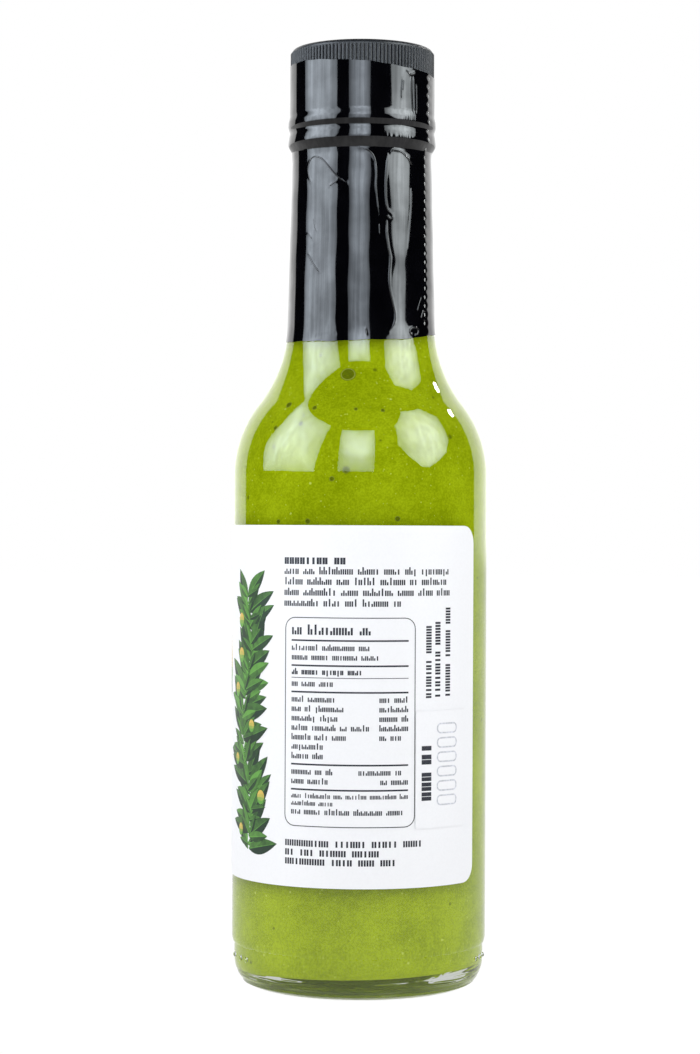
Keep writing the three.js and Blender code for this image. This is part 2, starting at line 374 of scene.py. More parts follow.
# How strongly the three kinds of flecks cover the sauce
DUST_COVER = 0.5
PULP_COVER = 0.75
SPECK_COVER = 0.7
FILM_PRESS = 0.06  # how far heights are pressed for the film's streaks


def glass_material():
    """Clear glass with the slow ripple of a moulded wall."""
    material, place, shader = new_material(
        "clear_glass",
        Base_Color=look().glass.tint,
        Transmission_Weight=1.0,
        IOR=GLASS_IOR,
        Specular_IOR_Level=0.5,
    )
    ripple = place.noise(70.0, 1.0)
    smear = place.noise(160.0, 3.0).step(0.45, 0.75)
    feed(shader, Roughness=smear.between(0.0, 0.012), Normal=ripple.bump(0.06, 0.6 * MM))
    return material


def sauce_material():
    """Thick sauce: cloudy green with fine grain, pale pulp and a few dark specks."""
    paint = look().sauce
    material, place, shader = new_material(
        "green_sauce",
        Roughness=0.5,
        Specular_IOR_Level=0.0,
        Subsurface_Weight=0.3,
        Subsurface_Scale=SAUCE_DEPTH,
        Subsurface_Radius=(1.0, 1.0, 0.25),
    )
    clouds = place.noise(110.0, 3.0).step(0.32, 0.72)
    mottle = place.noise(620.0, 3.0).step(0.36, 0.68)
    grain = place.noise(2900.0, 2.0).step(0.36, 0.66)
    light = clouds * CLOUD_SHARE + mottle * MOTTLE_SHARE + grain * GRAIN_SHARE + LEAST_SHARE
    body = light.mix(paint.green, paint.pale)
    dust = place.spots(1500.0, 0.3, 0.22)
    pulp = place.spots(520.0, 0.75, 0.11)
    specks = place.spots(230.0, 0.55, 0.09)
    dusty = (dust * DUST_COVER).mix(body, paint.pulp)
    flecked = (pulp * PULP_COVER).mix(dusty, paint.pulp)
    feed(shader, Base_Color=(specks * SPECK_COVER).mix(flecked, paint.speck))
    return material


def bubble_painted_light_material():
    """Trapped air against the glass: dark in the middle with painted shade, and a pale rim that is a painted
    highlight.
    """
    material, place, shader = new_material("trapped_air", Specular_IOR_Level=0.0)
    # The pale rim is a painted highlight and the dark middle is painted shade, both led by the stored shade
    rim = place.stored("shade").step(0.25, 0.9)
    paint = look().sauce
    mottle = place.noise(2600.0).step(0.3, 0.8)
    inside = mottle.between(0.0, 0.5).mix(paint.speck, paint.green)
    feed(shader, Base_Color=rim.mix(inside, paint.pulp), Roughness=mottle.between(0.3, 0.5))
    return material


def cap_material():
    """Moulded plastic with a fine grain and rubbed rib crests."""
    material, place, shader = new_material("cap_plastic", IOR=CAP_IOR)
    grain = place.noise(3800.0, 3.0)
    wear = place.noise(420.0, 3.0).step(0.4, 0.75)
    plastic = look().cap.plastic
    feed(
        shader,
        Base_Color=wear.between(0.0, 0.5).mix(plastic, shaded(plastic, 1.35)),
        Roughness=grain.between(0.33, 0.47),
        Normal=grain.bump(0.2, 0.04 * MM),
    )
    return material


def film_material(name):
    """Glossy black film, with a faint grain that softens its reflections here and there."""
    material, place, shader = new_material(name, IOR=FILM_IOR, Coat_Roughness=0.06)
    haze = place.noise(240.0, 4.0).step(0.35, 0.8)
    drawn = place.drawn_out(FILM_PRESS)
    ripple = drawn.noise(700.0, 2.0) + place.noise(500.0, 2.0) * 0.5
    streaks = drawn.noise(1100.0, 3.0).step(0.35, 0.68)
    blotches = place.noise(190.0, 3.0).step(0.3, 0.72)
    film = look().sleeve.film
    feed(
        shader,
        Base_Color=haze.mix(film, shaded(film, 1.5, 0.0006)),
        Roughness=haze.between(0.03, 0.07),
        Coat_Weight=streaks.between(0.04, 0.24) + blotches.between(0.0, 0.3),
        Normal=ripple.bump(0.14, 0.05 * MM),
    )
    return material


def paper_material(name, paper):
    """Coated label paper with a faint fibre."""
    material, place, shader = new_material(name, IOR=PAPER_IOR)
    fibre = place.noise(2200.0, 3.0)
    feed(
        shader,
        Base_Color=fibre.step(0.35, 0.75).mix(paper, shaded(paper, 0.98)),
        Roughness=fibre.between(0.42, 0.54),
        Normal=fibre.bump(0.06, 0.03 * MM),
    )
    return material


def ink_material(name, ink):
    """Printed ink that is a little uneven."""
    material, place, shader = new_material(name, IOR=PAPER_IOR)
    cover = place.noise(1800.0, 3.0).step(0.3, 0.85)
    feed(shader, Base_Color=cover.mix(ink, shaded(ink, 1.7, 0.01)), Roughness=cover.between(0.4, 0.5))
    return material


def leaf_material():
    """Printed greens: each leaf has its own tone, and its two halves differ in shade."""
    paint = look().label
    material, place, shader = new_material("leaf_print", IOR=PAPER_IOR)
    brush = place.noise(900.0, 3.0).step(0.3, 0.8)
    level = place.stored("tone") * 0.5 + place.stored("shade") * 0.45 + brush * 0.18
    green = level.step(0.15, 1.0).mix(paint.deep_leaf, paint.bright_leaf)
    feed(shader, Base_Color=green, Roughness=brush.between(0.4, 0.5))
    return material


def fruit_material():
    """Printed fruits: lit from the upper side, with a soft green shadow."""
    paint = look().label
    material, place, shader = new_material("fruit_print", IOR=PAPER_IOR)
    brush = place.noise(800.0, 3.0).step(0.3, 0.8)
    level = (place.stored("shade") + brush * 0.25).step(0.2, 1.0)
    feed(shader, Base_Color=level.mix(paint.bright_leaf, paint.fruit), Roughness=brush.between(0.4, 0.5))
    return material


# Geometry trees

MARKS_TREE = "marks_round_the_bottle"
RIB_SIDES = 12
RIDGE_SIDES = 8


def new_tree(name, inputs):
    """A geometry tree with named inputs: the tree, a wire in it, and a wire for each input."""
    tree = bpy.data.node_groups.new(name, "GeometryNodeTree")
    tree.interface.new_socket("Geometry", in_out="OUTPUT", socket_type="NodeSocketGeometry")
    for label, kind in inputs:
        tree.interface.new_socket(label, in_out="INPUT", socket_type=kind)
    start = Wire(tree).node("NodeGroupInput")
    return tree, start, [start.other(label) for label, _ in inputs]


def finish_tree(start, instances, join, material):
    """Ends a geometry tree: the instances made real, joined to the rest and given their material."""
    real = start.node("GeometryNodeRealizeInstances", None, {"Geometry": instances})
    if join is not None:
        merged = start.node("GeometryNodeJoinGeometry", None, {"Geometry": join})
        start.tree.links.new(real.socket, merged.socket.node.inputs[0])
        real = merged
    painted = start.node("GeometryNodeSetMaterial", None, {"Geometry": real, "Material": material})
    start.node("NodeGroupOutput", None, {"Geometry": painted})


def run_tree(thing, tree, values):
    """Runs a geometry tree on an object and leaves its result as the object's plain mesh."""
    modifier = thing.modifiers.new(tree.name, "NODES")
    modifier.node_group = tree
    for item in tree.interface.items_tree:
        if item.in_out == "INPUT" and item.name in values:
            modifier[item.identifier] = values[item.name]
    scene_graph = bpy.context.evaluated_depsgraph_get()
    made = bpy.data.meshes.new_from_object(thing.evaluated_get(scene_graph), depsgraph=scene_graph)
    thing.modifiers.clear()
    thing.data = made
    made.name = thing.name


def ribs_tree():
    """Upright ribs round a cup."""
    tree, start, wires = new_tree(
        "ribs_round_a_cup",
        [
            ("Cup", "NodeSocketGeometry"),
            ("Ribs", "NodeSocketInt"),
            ("Crest", "NodeSocketFloat"),
            ("Rib Radius", "NodeSocketFloat"),
            ("Rib Height", "NodeSocketFloat"),
            ("Rib Middle", "NodeSocketFloat"),
            ("Material", "NodeSocketMaterial"),
        ],
    )
    cup, count, crest, radius, height, middle, material = wires
    sizes = {"Vertices": RIB_SIDES, "Radius": radius, "Depth": height}
    rod = start.node("GeometryNodeMeshCylinder", None, sizes)
    place = start.node("ShaderNodeCombineXYZ", None, {"Y": radius - crest, "Z": middle})
    rib = start.node("GeometryNodeTransform", None, {"Geometry": rod, "Translation": place})
    points = start.node("GeometryNodePoints", None, {"Count": count})
    index = start.node("GeometryNodeInputIndex")
    spin = start.node("ShaderNodeCombineXYZ", None, {"Z": index * (2 * math.pi) / count})
    facing = start.node("FunctionNodeEulerToRotation", None, {"Euler": spin})
    ring = start.node(
        "GeometryNodeInstanceOnPoints", None, {"Points": points, "Instance": rib, "Rotation": facing}
    )
    finish_tree(start, ring, cup, material)
    return tree


def marks_tree():
    """A mark on each flat point, turned and sized by the point, and then wrapped round the bottle."""
    made = bpy.data.node_groups.get(MARKS_TREE)
    if made:
        return made
    tree, start, wires = new_tree(
        MARKS_TREE,
        [
            ("Points", "NodeSocketGeometry"),
            ("Shapes", "NodeSocketCollection"),
            ("Radius", "NodeSocketFloat"),
            ("Material", "NodeSocketMaterial"),
        ],
    )
    points, collection, radius, material = wires
    shapes = start.node(
        "GeometryNodeCollectionInfo",
        None,
        {"Collection": collection, "Separate Children": True, "Reset Children": True},
    )
    facing = start.node("FunctionNodeEulerToRotation", None, {"Euler": start.point_value("mark_turn")})
    copies = start.node(
        "GeometryNodeInstanceOnPoints",
        None,
        {
            "Points": points,
            "Instance": shapes,
            "Pick Instance": True,
            "Instance Index": start.point_value("mark_kind", "INT"),
            "Rotation": facing,
            "Scale": start.point_value("mark_size"),
        },
    )
    real = start.node("GeometryNodeRealizeInstances", None, {"Geometry": copies})
    position = start.node("GeometryNodeInputPosition")
    flat = start.node("ShaderNodeSeparateXYZ", None, {"Vector": position}, "X")
    angle = flat / radius
    reach = radius + flat.other("Z")
    bent = start.node(
        "ShaderNodeCombineXYZ",
        None,
        {
            "X": reach * start.node("ShaderNodeMath", {"operation": "SINE"}, {0: angle}),
            "Y": 0.0 - reach * start.node("ShaderNodeMath", {"operation": "COSINE"}, {0: angle}),
            "Z": flat.other("Y"),
        },
    )
    wrapped = start.node("GeometryNodeSetPosition", None, {"Geometry": real, "Position": bent})
    finish_tree(start, wrapped, None, material)
    return tree


def ridges_tree():
    """A thin round ridge along each path, as thick as its points say."""
    tree, start, wires = new_tree(
        "ridges_along_paths", [("Paths", "NodeSocketGeometry"), ("Material", "NodeSocketMaterial")]
    )
    paths, material = wires
    curve = start.node("GeometryNodeMeshToCurve", None, {"Mesh": paths})
    swell = start.point_value("swell", "FLOAT")
    ring = start.node("GeometryNodeCurvePrimitiveCircle", None, {"Resolution": RIDGE_SIDES, "Radius": 1.0})
    ridge = start.node(
        "GeometryNodeCurveToMesh",
        None,
        {"Curve": curve, "Profile Curve": ring, "Scale": swell, "Fill Caps": True},
    )
    finish_tree(start, ridge, None, material)
    return tree


# Meshes

SHARP = 40.0  # degrees from which a corner stays sharp
SHARP_PLATE = 30.0
SHARP_RIB = 35.0
SHARP_MARK = 60.0
SHARP_DASH = 80.0


def new_mesh(name, vertices, faces, sharp=SHARP):
    """A smooth-shaded mesh with its corners kept sharp."""
    mesh = bpy.data.meshes.new(name)
    mesh.from_pydata(vertices, [], faces)
    mesh.update()
    mesh.shade_smooth()
    mesh.set_sharp_from_angle(angle=math.radians(sharp))
    return mesh


def new_object(name, mesh):
    """An object at the origin, linked to the scene."""
    thing = bpy.data.objects.new(name, mesh)
    bpy.context.scene.collection.objects.link(thing)
    return thing


def new_piece(name, mesh, material, slot, *nodes):
    """A finished piece of the bottle: painted, riding on the body, and standing for its solids."""
    thing = new_object(name, mesh)
    dress(thing, material, slot, *nodes)
    return thing


def dress(thing, material, slot, *nodes):
    """Paints a piece, and says what it rides on and which solids it stands for."""
    if not thing.data.polygons:
        raise RuntimeError(f"{thing.name} came out empty")
    thing.data.materials.clear()
    thing.data.materials.append(material)
    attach(thing, BODY)
    if nodes:
        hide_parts(*nodes)


def arc(centre, radii, start, end, steps):
    """Points (radius, height) on a round or oval arc between two angles in degrees."""
    angles = np.radians(np.linspace(start, end, steps + 1))
    return [
        (centre[0] + radii[0] * math.cos(angle), centre[1] + radii[1] * math.sin(angle))
        for angle in angles
    ]


def turned_rings(profile, columns):
    """Rings of points for a profile turned round the bottle's axis."""
    angles = np.linspace(0.0, 2 * math.pi, columns, endpoint=False)
    radius, height = np.array(profile).T
    across = radius[:, None] * np.sin(angles)
    deep = -radius[:, None] * np.cos(angles)
    up = np.broadcast_to(height[:, None], across.shape)
    return np.stack([across, deep, up], axis=-1)


def ring_mesh(name, rings, poles=None, sharp=SHARP):
    """A closed skin over rings of points: to a pole at each end, or from the last ring to the first."""
    rows, columns, _ = rings.shape
    spans = rows - 1 if poles else rows
    here = np.arange(columns)
    there = (here + 1) % columns
    low = (np.arange(spans) * columns)[:, None]
    high = ((np.arange(spans) + 1) % rows * columns)[:, None]
    quads = np.stack([low + here, low + there, high + there, high + here], axis=-1)
    faces = quads.reshape(-1, 4).tolist()
    vertices = rings.reshape(-1, 3).tolist()
    if poles:
        first = len(vertices)
        vertices += [(0.0, 0.0, poles[0]), (0.0, 0.0, poles[1])]
        last_row = (rows - 1) * columns
        faces += [(first, int(b), int(a)) for a, b in zip(here, there)]
        faces += [(last_row + int(a), last_row + int(b), first + 1) for a, b in zip(here, there)]
    return new_mesh(name, vertices, faces, sharp)


def around(radius, angle, height):
    """The place at an angle round the bottle."""
    return (radius * math.sin(angle), -radius * math.cos(angle), height)


# Glass bottle

HEEL_RADIUS = 22.9 * MM
HEEL_TOP = 6.8 * MM
HEEL_ROUND = (3.6 * MM, 5.0 * MM)
BODY_FOOT = 9.2 * MM
BEARING_WIDTH = 1.8 * MM
PUSH_UP = 3.5 * MM
FLOOR_DOME = 0.6 * MM
NECK_TOP = 151.6 * MM
BEAD_RADIUS = 13.5 * MM
BEAD_HEIGHT = 155.1 * MM
BEAD_HALF = 1.7 * MM
FINISH_RADIUS = 11.4 * MM
LIP_ROUND = 0.8 * MM
INNER_HEEL_ROUND = 2.2 * MM
NECK_WALL = 3.2 * MM
BORE_RADIUS = 8.6 * MM
BODY_STEP = 1.6 * MM  # height of the rounding where the body stands out over the heel
GLASS_COLUMNS = 300
DOME_STEPS = 40
HEEL_STEPS = 60

# Raised beads that a mould leaves on the heel: angles in degrees, their height and radius, and their
# shape as parts of the radius
HEEL_BEADS = (-79, -68.5, -62, 69, 74, 80.5, 150, 158, 166, 205, 213)
BEAD_PLACE = 5.6 * MM
BEAD_SIZE = 0.5 * MM
BEAD_CREST = 0.9
BEAD_ROOT = (0.95, -0.15)
BEAD_COLUMNS = 20
# Raised line at the foot of the heel: height, rise, reach, and how far outside the bearing ring it starts
HEEL_LINE = 0.7 * MM
HEEL_LINE_RISE = 0.22 * MM
HEEL_LINE_REACH = 0.25 * MM
HEEL_LINE_START = 0.5 * MM
# Ripples: a rate to the metre, and then sways round the bottle as (size, count, phase). Fine ones come
# and go in patches: a rate and a count on the base, a count and a phase on the heel
BASE_RIPPLE = 0.05 * MM
BASE_SWIRL = (4800.0, (1.4, 3, 1.0))
BASE_FINE = (8200.0, (2.2, 5, 0.0))
BASE_PATCHES = (900.0, 9)
HEEL_RIPPLE = 0.04 * MM
HEEL_RIPPLE_TOP = 3.6 * MM
HEEL_RIPPLE_FOOT = 0.9 * MM
HEEL_FINE = (1 / (0.14 * MM), (2.0, 3, 0.0), (1.1, 7, 1.0))
HEEL_BROAD = (1 / (0.27 * MM), (1.5, 4, 2.0), (0.8, 11, 0.0))
HEEL_PATCHES = (5, 0.7)
RIPPLE_FADE = MM  # distance over which ripples grow from nothing
# Rise of the tilted floor at the right-hand wall, and the heights between which the tilt fades out
FLOOR_TILT = 0.45 * MM
TILT_FOOT = 6.5 * MM
TILT_TOP = 16.0 * MM


def shoulder(wall, steps):
    """The shoulder from the body up to the neck, set in by a wall."""
    glass = look().glass
    draw_in = glass.body_radius - glass.neck_radius
    both = glass.shoulder_round + glass.shoulder_hollow
    steepest = math.acos(
        (glass.shoulder_round + glass.shoulder_hollow * math.cos(glass.neck_taper) - draw_in) / both
    )
    turn_radius = glass.body_radius - glass.shoulder_round * (1 - math.cos(steepest))
    turn_height = glass.shoulder_foot + glass.shoulder_round * math.sin(steepest)
    hollow_centre = (
        turn_radius + glass.shoulder_hollow * math.cos(steepest),
        turn_height + glass.shoulder_hollow * math.sin(steepest),
    )
    degrees = math.degrees(steepest)
    convex = arc(
        (glass.body_radius - glass.shoulder_round, glass.shoulder_foot),
        (glass.shoulder_round - wall,) * 2,
        0,
        degrees,
        steps,
    )
    concave = arc(
        hollow_centre,
        (glass.shoulder_hollow + wall,) * 2,
        180 + degrees,
        180 + math.degrees(glass.neck_taper),
        steps,
    )
    return convex + concave[1:]


def neck_top_radius():
    """Outer radius at the top of the tapered neck."""
    glass = look().glass
    foot = shoulder(0.0, 1)[-1][1]
    return glass.neck_radius - (NECK_TOP - foot) * math.tan(glass.neck_taper)


def glass_outside():
    """The bottle's outer profile, from the middle of its base to its lip."""
    glass = look().glass
    bearing = HEEL_RADIUS - HEEL_ROUND[0]
    heel_side = [(HEEL_RADIUS, height) for height in np.linspace(HEEL_ROUND[1], HEEL_TOP, 7)[1:]]
    step = arc((HEEL_RADIUS, BODY_FOOT), (glass.body_radius - HEEL_RADIUS, BODY_STEP), -90, 0, 6)
    bead = arc((BEAD_RADIUS - BEAD_HALF, BEAD_HEIGHT), (BEAD_HALF,) * 2, -60, 90, 12)
    lip = arc((FINISH_RADIUS - LIP_ROUND, glass.lip_height - LIP_ROUND), (LIP_ROUND,) * 2, 0, 90, 6)
    dome = arc((0.0, 0.0), (bearing - BEARING_WIDTH, PUSH_UP), 90, 0, DOME_STEPS)
    heel = arc((bearing, HEEL_ROUND[1]), HEEL_ROUND, -90, 0, HEEL_STEPS)
    neck = [(neck_top_radius(), NECK_TOP)]
    finish = [(FINISH_RADIUS, BEAD_HEIGHT + BEAD_HALF)]
    return dome[1:] + heel + heel_side + step + shoulder(0.0, 28) + neck + bead + finish + lip


def glass_inside(gap):
    """The bottle's inner profile, from its floor to the neck, set in by a further gap."""
    glass = look().glass
    wall = glass.wall + gap
    floor = glass.base_thickness + gap
    centre = (glass.body_radius - wall - INNER_HEEL_ROUND, floor + INNER_HEEL_ROUND)
    heel = arc(centre, (INNER_HEEL_ROUND,) * 2, -90, 0, 14)
    dome = [(heel[0][0] * share, floor + FLOOR_DOME * (1 - share**2)) for share in np.linspace(0.1, 0.9, 9)]
    bend = shoulder(wall, 24)
    neck = (glass.neck_radius - NECK_WALL - gap, bend[-1][1] + NECK_WALL)
    return dome + heel + bend + [neck]


def tilt_floor(rings):
    """Tilts the lowest part of the inner face, as the glass of the base is thicker on one side."""
    share = np.clip((TILT_TOP - rings[..., 2]) / (TILT_TOP - TILT_FOOT), 0.0, 1.0)
    rings[..., 2] += FLOOR_TILT * rings[..., 0] / HEEL_RADIUS * share


def angle_round(rings):
    """Angle of each point round the bottle."""
    return np.arctan2(rings[..., 0], -rings[..., 1])


def swaying_wave(place, angle, rate, *sways):
    """Waves along a distance, whose lines sway to and fro round the bottle."""
    return np.sin(rate * place + sum(size * np.sin(count * angle + phase) for size, count, phase in sways))


def let_light_through(piece):
    """Glass casts no shadow, and leaves the light on matt surfaces alone."""
    piece.visible_shadow = False
    piece.visible_diffuse = False


def outer_radius(height):
    """The bottle's outer radius at heights from the body up to the top of the neck."""
    glass = look().glass
    line = [(glass.body_radius, BODY_FOOT)] + shoulder(0.0, 40) + [(neck_top_radius(), NECK_TOP)]
    radii, heights = np.array(line).T
    return np.interp(height, heights, radii)


class BOTTLE_OT_glass(bpy.types.Operator):
    """Makes the clear glass bottle."""

    bl_idname = "bottle.glass"
    bl_label = "Glass Bottle"

    def execute(self, context):
        glass = look().glass
        inside = glass_inside(0.0)
        mouth = [(BORE_RADIUS, BEAD_HEIGHT), (BORE_RADIUS, glass.lip_height)]
        profile = glass_outside() + (inside + mouth)[::-1]
        rings = turned_rings(profile, GLASS_COLUMNS)
        rings += self.heel_line(rings)
        heel = slice(DOME_STEPS, DOME_STEPS + HEEL_STEPS)
        rings[heel] *= self.heel_ripple(rings[heel])
        rings[..., 2] += self.base_ripple(rings)
        tilt_floor(rings[-len(inside) - len(mouth):])
        poles = (PUSH_UP, glass.base_thickness + FLOOR_DOME)
        mesh = ring_mesh("clear_bottle", rings, poles)
        let_light_through(new_piece("clear_bottle", mesh, glass_material(), "glass", "glass_bottle"))
        return {"FINISHED"}

    @staticmethod
    def base_ripple(rings):
        """How far the hollow underside rises and falls with the ripples that the mould left."""
        radius = np.linalg.norm(rings[..., :2], axis=-1)
        angle = angle_round(rings)
        swirl = swaying_wave(radius, angle, *BASE_SWIRL)
        rate, count = BASE_PATCHES
        fine = swaying_wave(radius, angle, *BASE_FINE) * np.sin(count * angle + rate * radius)
        ripple = BASE_RIPPLE * (swirl + fine)
        ripple *= np.clip(rings[..., 2] / RIPPLE_FADE, 0.0, 1.0)
        ripple[DOME_STEPS:] = 0.0
        return ripple

    @staticmethod
    def heel_ripple(rings):
        """Stretch of the heel's rings by the fine lines that lie along its foot."""
        height = rings[..., 2]
        angle = angle_round(rings)
        count, phase = HEEL_PATCHES
        fine = swaying_wave(height, angle, *HEEL_FINE) * np.sin(count * angle + phase)
        broad = swaying_wave(height, angle, *HEEL_BROAD)
        fade = np.clip(height / HEEL_RIPPLE_FOOT, 0.0, 1.0)
        fade = fade * np.clip((HEEL_RIPPLE_TOP - height) / RIPPLE_FADE, 0.0, 1.0)
        stretch = np.ones(rings.shape)
        stretch[..., :2] += (HEEL_RIPPLE / HEEL_RADIUS * fade * (fine + broad))[..., None]
        return stretch

    @staticmethod
    def heel_line(rings):
        """How far each point of the glass is pushed out by the raised line at the foot of the heel."""
        rise = HEEL_LINE_RISE * np.exp(-(((rings[..., 2] - HEEL_LINE) / HEEL_LINE_REACH) ** 2))
        rise *= np.linalg.norm(rings[..., :2], axis=-1) > HEEL_RADIUS - HEEL_ROUND[0] + HEEL_LINE_START
        outward = rings.copy()
        outward[..., 2] = 0.0
        outward /= np.linalg.norm(outward, axis=-1, keepdims=True)
        return outward * rise[..., None]


class BOTTLE_OT_heel_beads(bpy.types.Operator):
    """Makes the small raised beads on the heel of the glass."""

    bl_idname = "bottle.heel_beads"
    bl_label = "Heel Beads"

    def execute(self, context):
        marks = Marks()
        for degrees in HEEL_BEADS:
            marks.add((math.radians(degrees) * HEEL_RADIUS, BEAD_PLACE, 0.0), (BEAD_SIZE,) * 3)
        dome = arc((0.0, 0.0), (1.0, BEAD_CREST), 0, 75, 5)
        rings = turned_rings([BEAD_ROOT] + dome, BEAD_COLUMNS)
        shape = ring_mesh("bead_mark", rings, (BEAD_ROOT[1], BEAD_CREST), SHARP_MARK)
        material = glass_material()
        piece = marks.wrap("heel_beads", HEEL_RADIUS, material, shape)
        dress(piece, material, "glass")
        let_light_through(piece)
        return {"FINISHED"}


# Sauce

MENISCUS = 0.6 * MM
SAUCE_COLUMNS = 256

# Bubbles against the glass: angle in degrees, height and radius in millimetres
BUBBLES = (
    (-9.5, 110.9, 1.15),
    (-46, 105.1, 0.5),
    (-48.5, 101.2, 0.36),
    (-32.5, 101.9, 0.4),
    (-27, 104.6, 0.36),
    (-34, 114.7, 0.3),
    (-7, 94, 0.58),
    (-13.6, 92.4, 0.4),
    (-25.4, 84.9, 0.42),
    (-41.7, 84.8, 0.36),
    (17.3, 85.4, 0.42),
    (-3, 104.4, 0.28),
    (12, 104.2, 0.3),
    (150, 108, 0.8),
    (178, 99, 0.5),
    (205, 94, 0.4),
    (236, 104, 0.55),
    (120, 90, 0.4),
)
# A bubble's rounded face as (radius, height) in parts of its size, from its middle out, its root in the
# sauce, and how pale it is
# at three distances from its middle: painted shade in the middle and a painted highlight on the rim
BUBBLE_MIDDLE = 0.08
BUBBLE_FACE = ((0.25, 0.1), (0.5, 0.13), (0.72, 0.14), (0.86, 0.16), (0.97, 0.2), (1.08, 0.16), (1.16, 0.0))
BUBBLE_ROOT = (1.1, -0.3)
BUBBLE_PAINTED_LIGHT = ((0.8, 0.97, 1.16), (0.0, 0.55, 0.35))
BUBBLE_COLUMNS = 28


def sauce_profile():
    """The sauce from its middle at the bottom, up the glass and over its surface."""
    sauce = look().sauce
    wet = glass_inside(-sauce.into_wall)
    neck_radius, neck_height = wet[-1]
    share = (sauce.fill_height - neck_height) / (BEAD_HEIGHT - neck_height)
    top_radius = neck_radius + (BORE_RADIUS + sauce.into_wall - neck_radius) * share
    return wet + arc((0.0, sauce.fill_height), (top_radius, -MENISCUS), 0, 90, 10)[:-1]


class BOTTLE_OT_sauce(bpy.types.Operator):
    """Makes the sauce, which reaches just into the glass."""

    bl_idname = "bottle.sauce"
    bl_label = "Sauce"

    def execute(self, context):
        sauce = look().sauce
        rings = turned_rings(sauce_profile(), SAUCE_COLUMNS)
        tilt_floor(rings)
        floor = look().glass.base_thickness - sauce.into_wall + FLOOR_DOME
        poles = (floor, sauce.fill_height - MENISCUS)
        new_piece("green_sauce", ring_mesh("green_sauce", rings, poles), sauce_material(), "sauce", "sauce")
        return {"FINISHED"}


class BOTTLE_OT_bubbles(bpy.types.Operator):
    """Makes the bubbles that are caught between the sauce and the glass."""

    bl_idname = "bottle.bubbles"
    bl_label = "Bubbles"

    def execute(self, context):
        profile = np.array(sauce_profile())
        radius = look().glass.body_radius - look().glass.wall
        marks = Marks()
        rising = profile[np.argmax(profile[:, 0]):]
        for degrees, height, size in BUBBLES:
            reach = np.interp(height * MM, rising[:, 1], rising[:, 0])
            slope = np.interp(height * MM, rising[:-1, 1], np.diff(rising[:, 0]) / np.diff(rising[:, 1]))
            flat = (math.radians(degrees) * radius, height * MM, reach - radius)
            squeeze = radius / reach
            tilt = (math.atan(slope), 0.0, 0.0)
            marks.add(flat, (size * squeeze * MM, size * MM, size * MM), tilt)
        rings = turned_rings((BUBBLE_ROOT,) + BUBBLE_FACE[::-1], BUBBLE_COLUMNS)
        shape = ring_mesh("bubble_mark", rings, (BUBBLE_ROOT[1], BUBBLE_MIDDLE), SHARP_MARK)
        reach = np.linalg.norm(vertex_places(shape)[:, :2], axis=1)
        # Painted shade in the middle and a painted highlight on the rim
        set_values(shape, "shade", np.interp(reach, *BUBBLE_PAINTED_LIGHT))
        material = bubble_painted_light_material()
        dress(marks.wrap("sauce_bubbles", radius, material, shape), material, "sauce")
        return {"FINISHED"}


# Marks

# Printed strokes: stem widths of light and heavy ones, and how high a half-height stroke reaches
TICK_STEMS = (0.42, 0.47)
TICK_HALF = 0.05
# Leaves: shades of the light half, the dark half and the midrib, and half-widths of midrib and tip
LEAF_SHADES = (0.75, 0.1, 1.25)
LEAF_RIB = 0.045
LEAF_TIP = 0.004
# Pods: how far they curl, half-widths of body and tip, edges of the three bands, and their shades
POD_CURL = 0.16
POD_HALF = 0.13
POD_TIP = 0.003
POD_BANDS = (-1.0, -0.35, 0.3, 1.0)
POD_SHADES = (0.55, 1.0, 0.2)
BEND_STEP = 0.8 * MM  # longest straight stretch of a line that is bent round the bottle
RULE_SEGMENTS = 30


class Marks:
    """Flat places for one kind of mark, to be wrapped round the bottle."""

    def __init__(self):
        self.places = []
        self.sizes = []
        self.turns = []
        self.tones = []
        self.kinds = []

    def add(self, place, size, facing=(0.0, 0.0, 0.0), tone=0.0, kind=0):
        """One more mark: its place, size, turn, tone, and which of the shapes it is."""
        self.places.append(place)
        self.sizes.append(size)
        self.turns.append(facing)
        self.tones.append(tone)
        self.kinds.append(kind)

    def wrap(self, name, radius, material, *shapes):
        """The marks as one plain mesh object on a cylinder of that radius."""
        points = bpy.data.meshes.new(name)
        points.from_pydata(self.places, [], [])
        for label, rows in (("mark_size", self.sizes), ("mark_turn", self.turns)):
            stored = points.attributes.new(label, "FLOAT_VECTOR", "POINT")
            stored.data.foreach_set("vector", np.array(rows, dtype=np.float32).ravel())
        set_values(points, "tone", self.tones)
        kinds = points.attributes.new("mark_kind", "INT", "POINT")
        kinds.data.foreach_set("value", self.kinds)
        thing = new_object(name, points)
        box = bpy.data.collections.new(name + "_shapes")
        for i, shape in enumerate(shapes):
            box.objects.link(bpy.data.objects.new(f"{name}_shape_{i}", shape))
        run_tree(thing, marks_tree(), {"Shapes": box, "Radius": radius, "Material": material})
        for shape in list(box.objects):
            bpy.data.objects.remove(shape)
        bpy.data.collections.remove(box)
        return thing


def set_values(mesh, name, values):
    """Stores a number on each vertex."""
    stored = mesh.attributes.new(name, "FLOAT", "POINT")
    stored.data.foreach_set("value", np.array(values, dtype=np.float32))


def vertex_places(mesh):
    """The places of all vertices as rows of an array."""
    places = np.zeros(len(mesh.vertices) * 3, dtype=np.float32)
    mesh.vertices.foreach_get("co", places)
    return places.reshape(-1, 3)


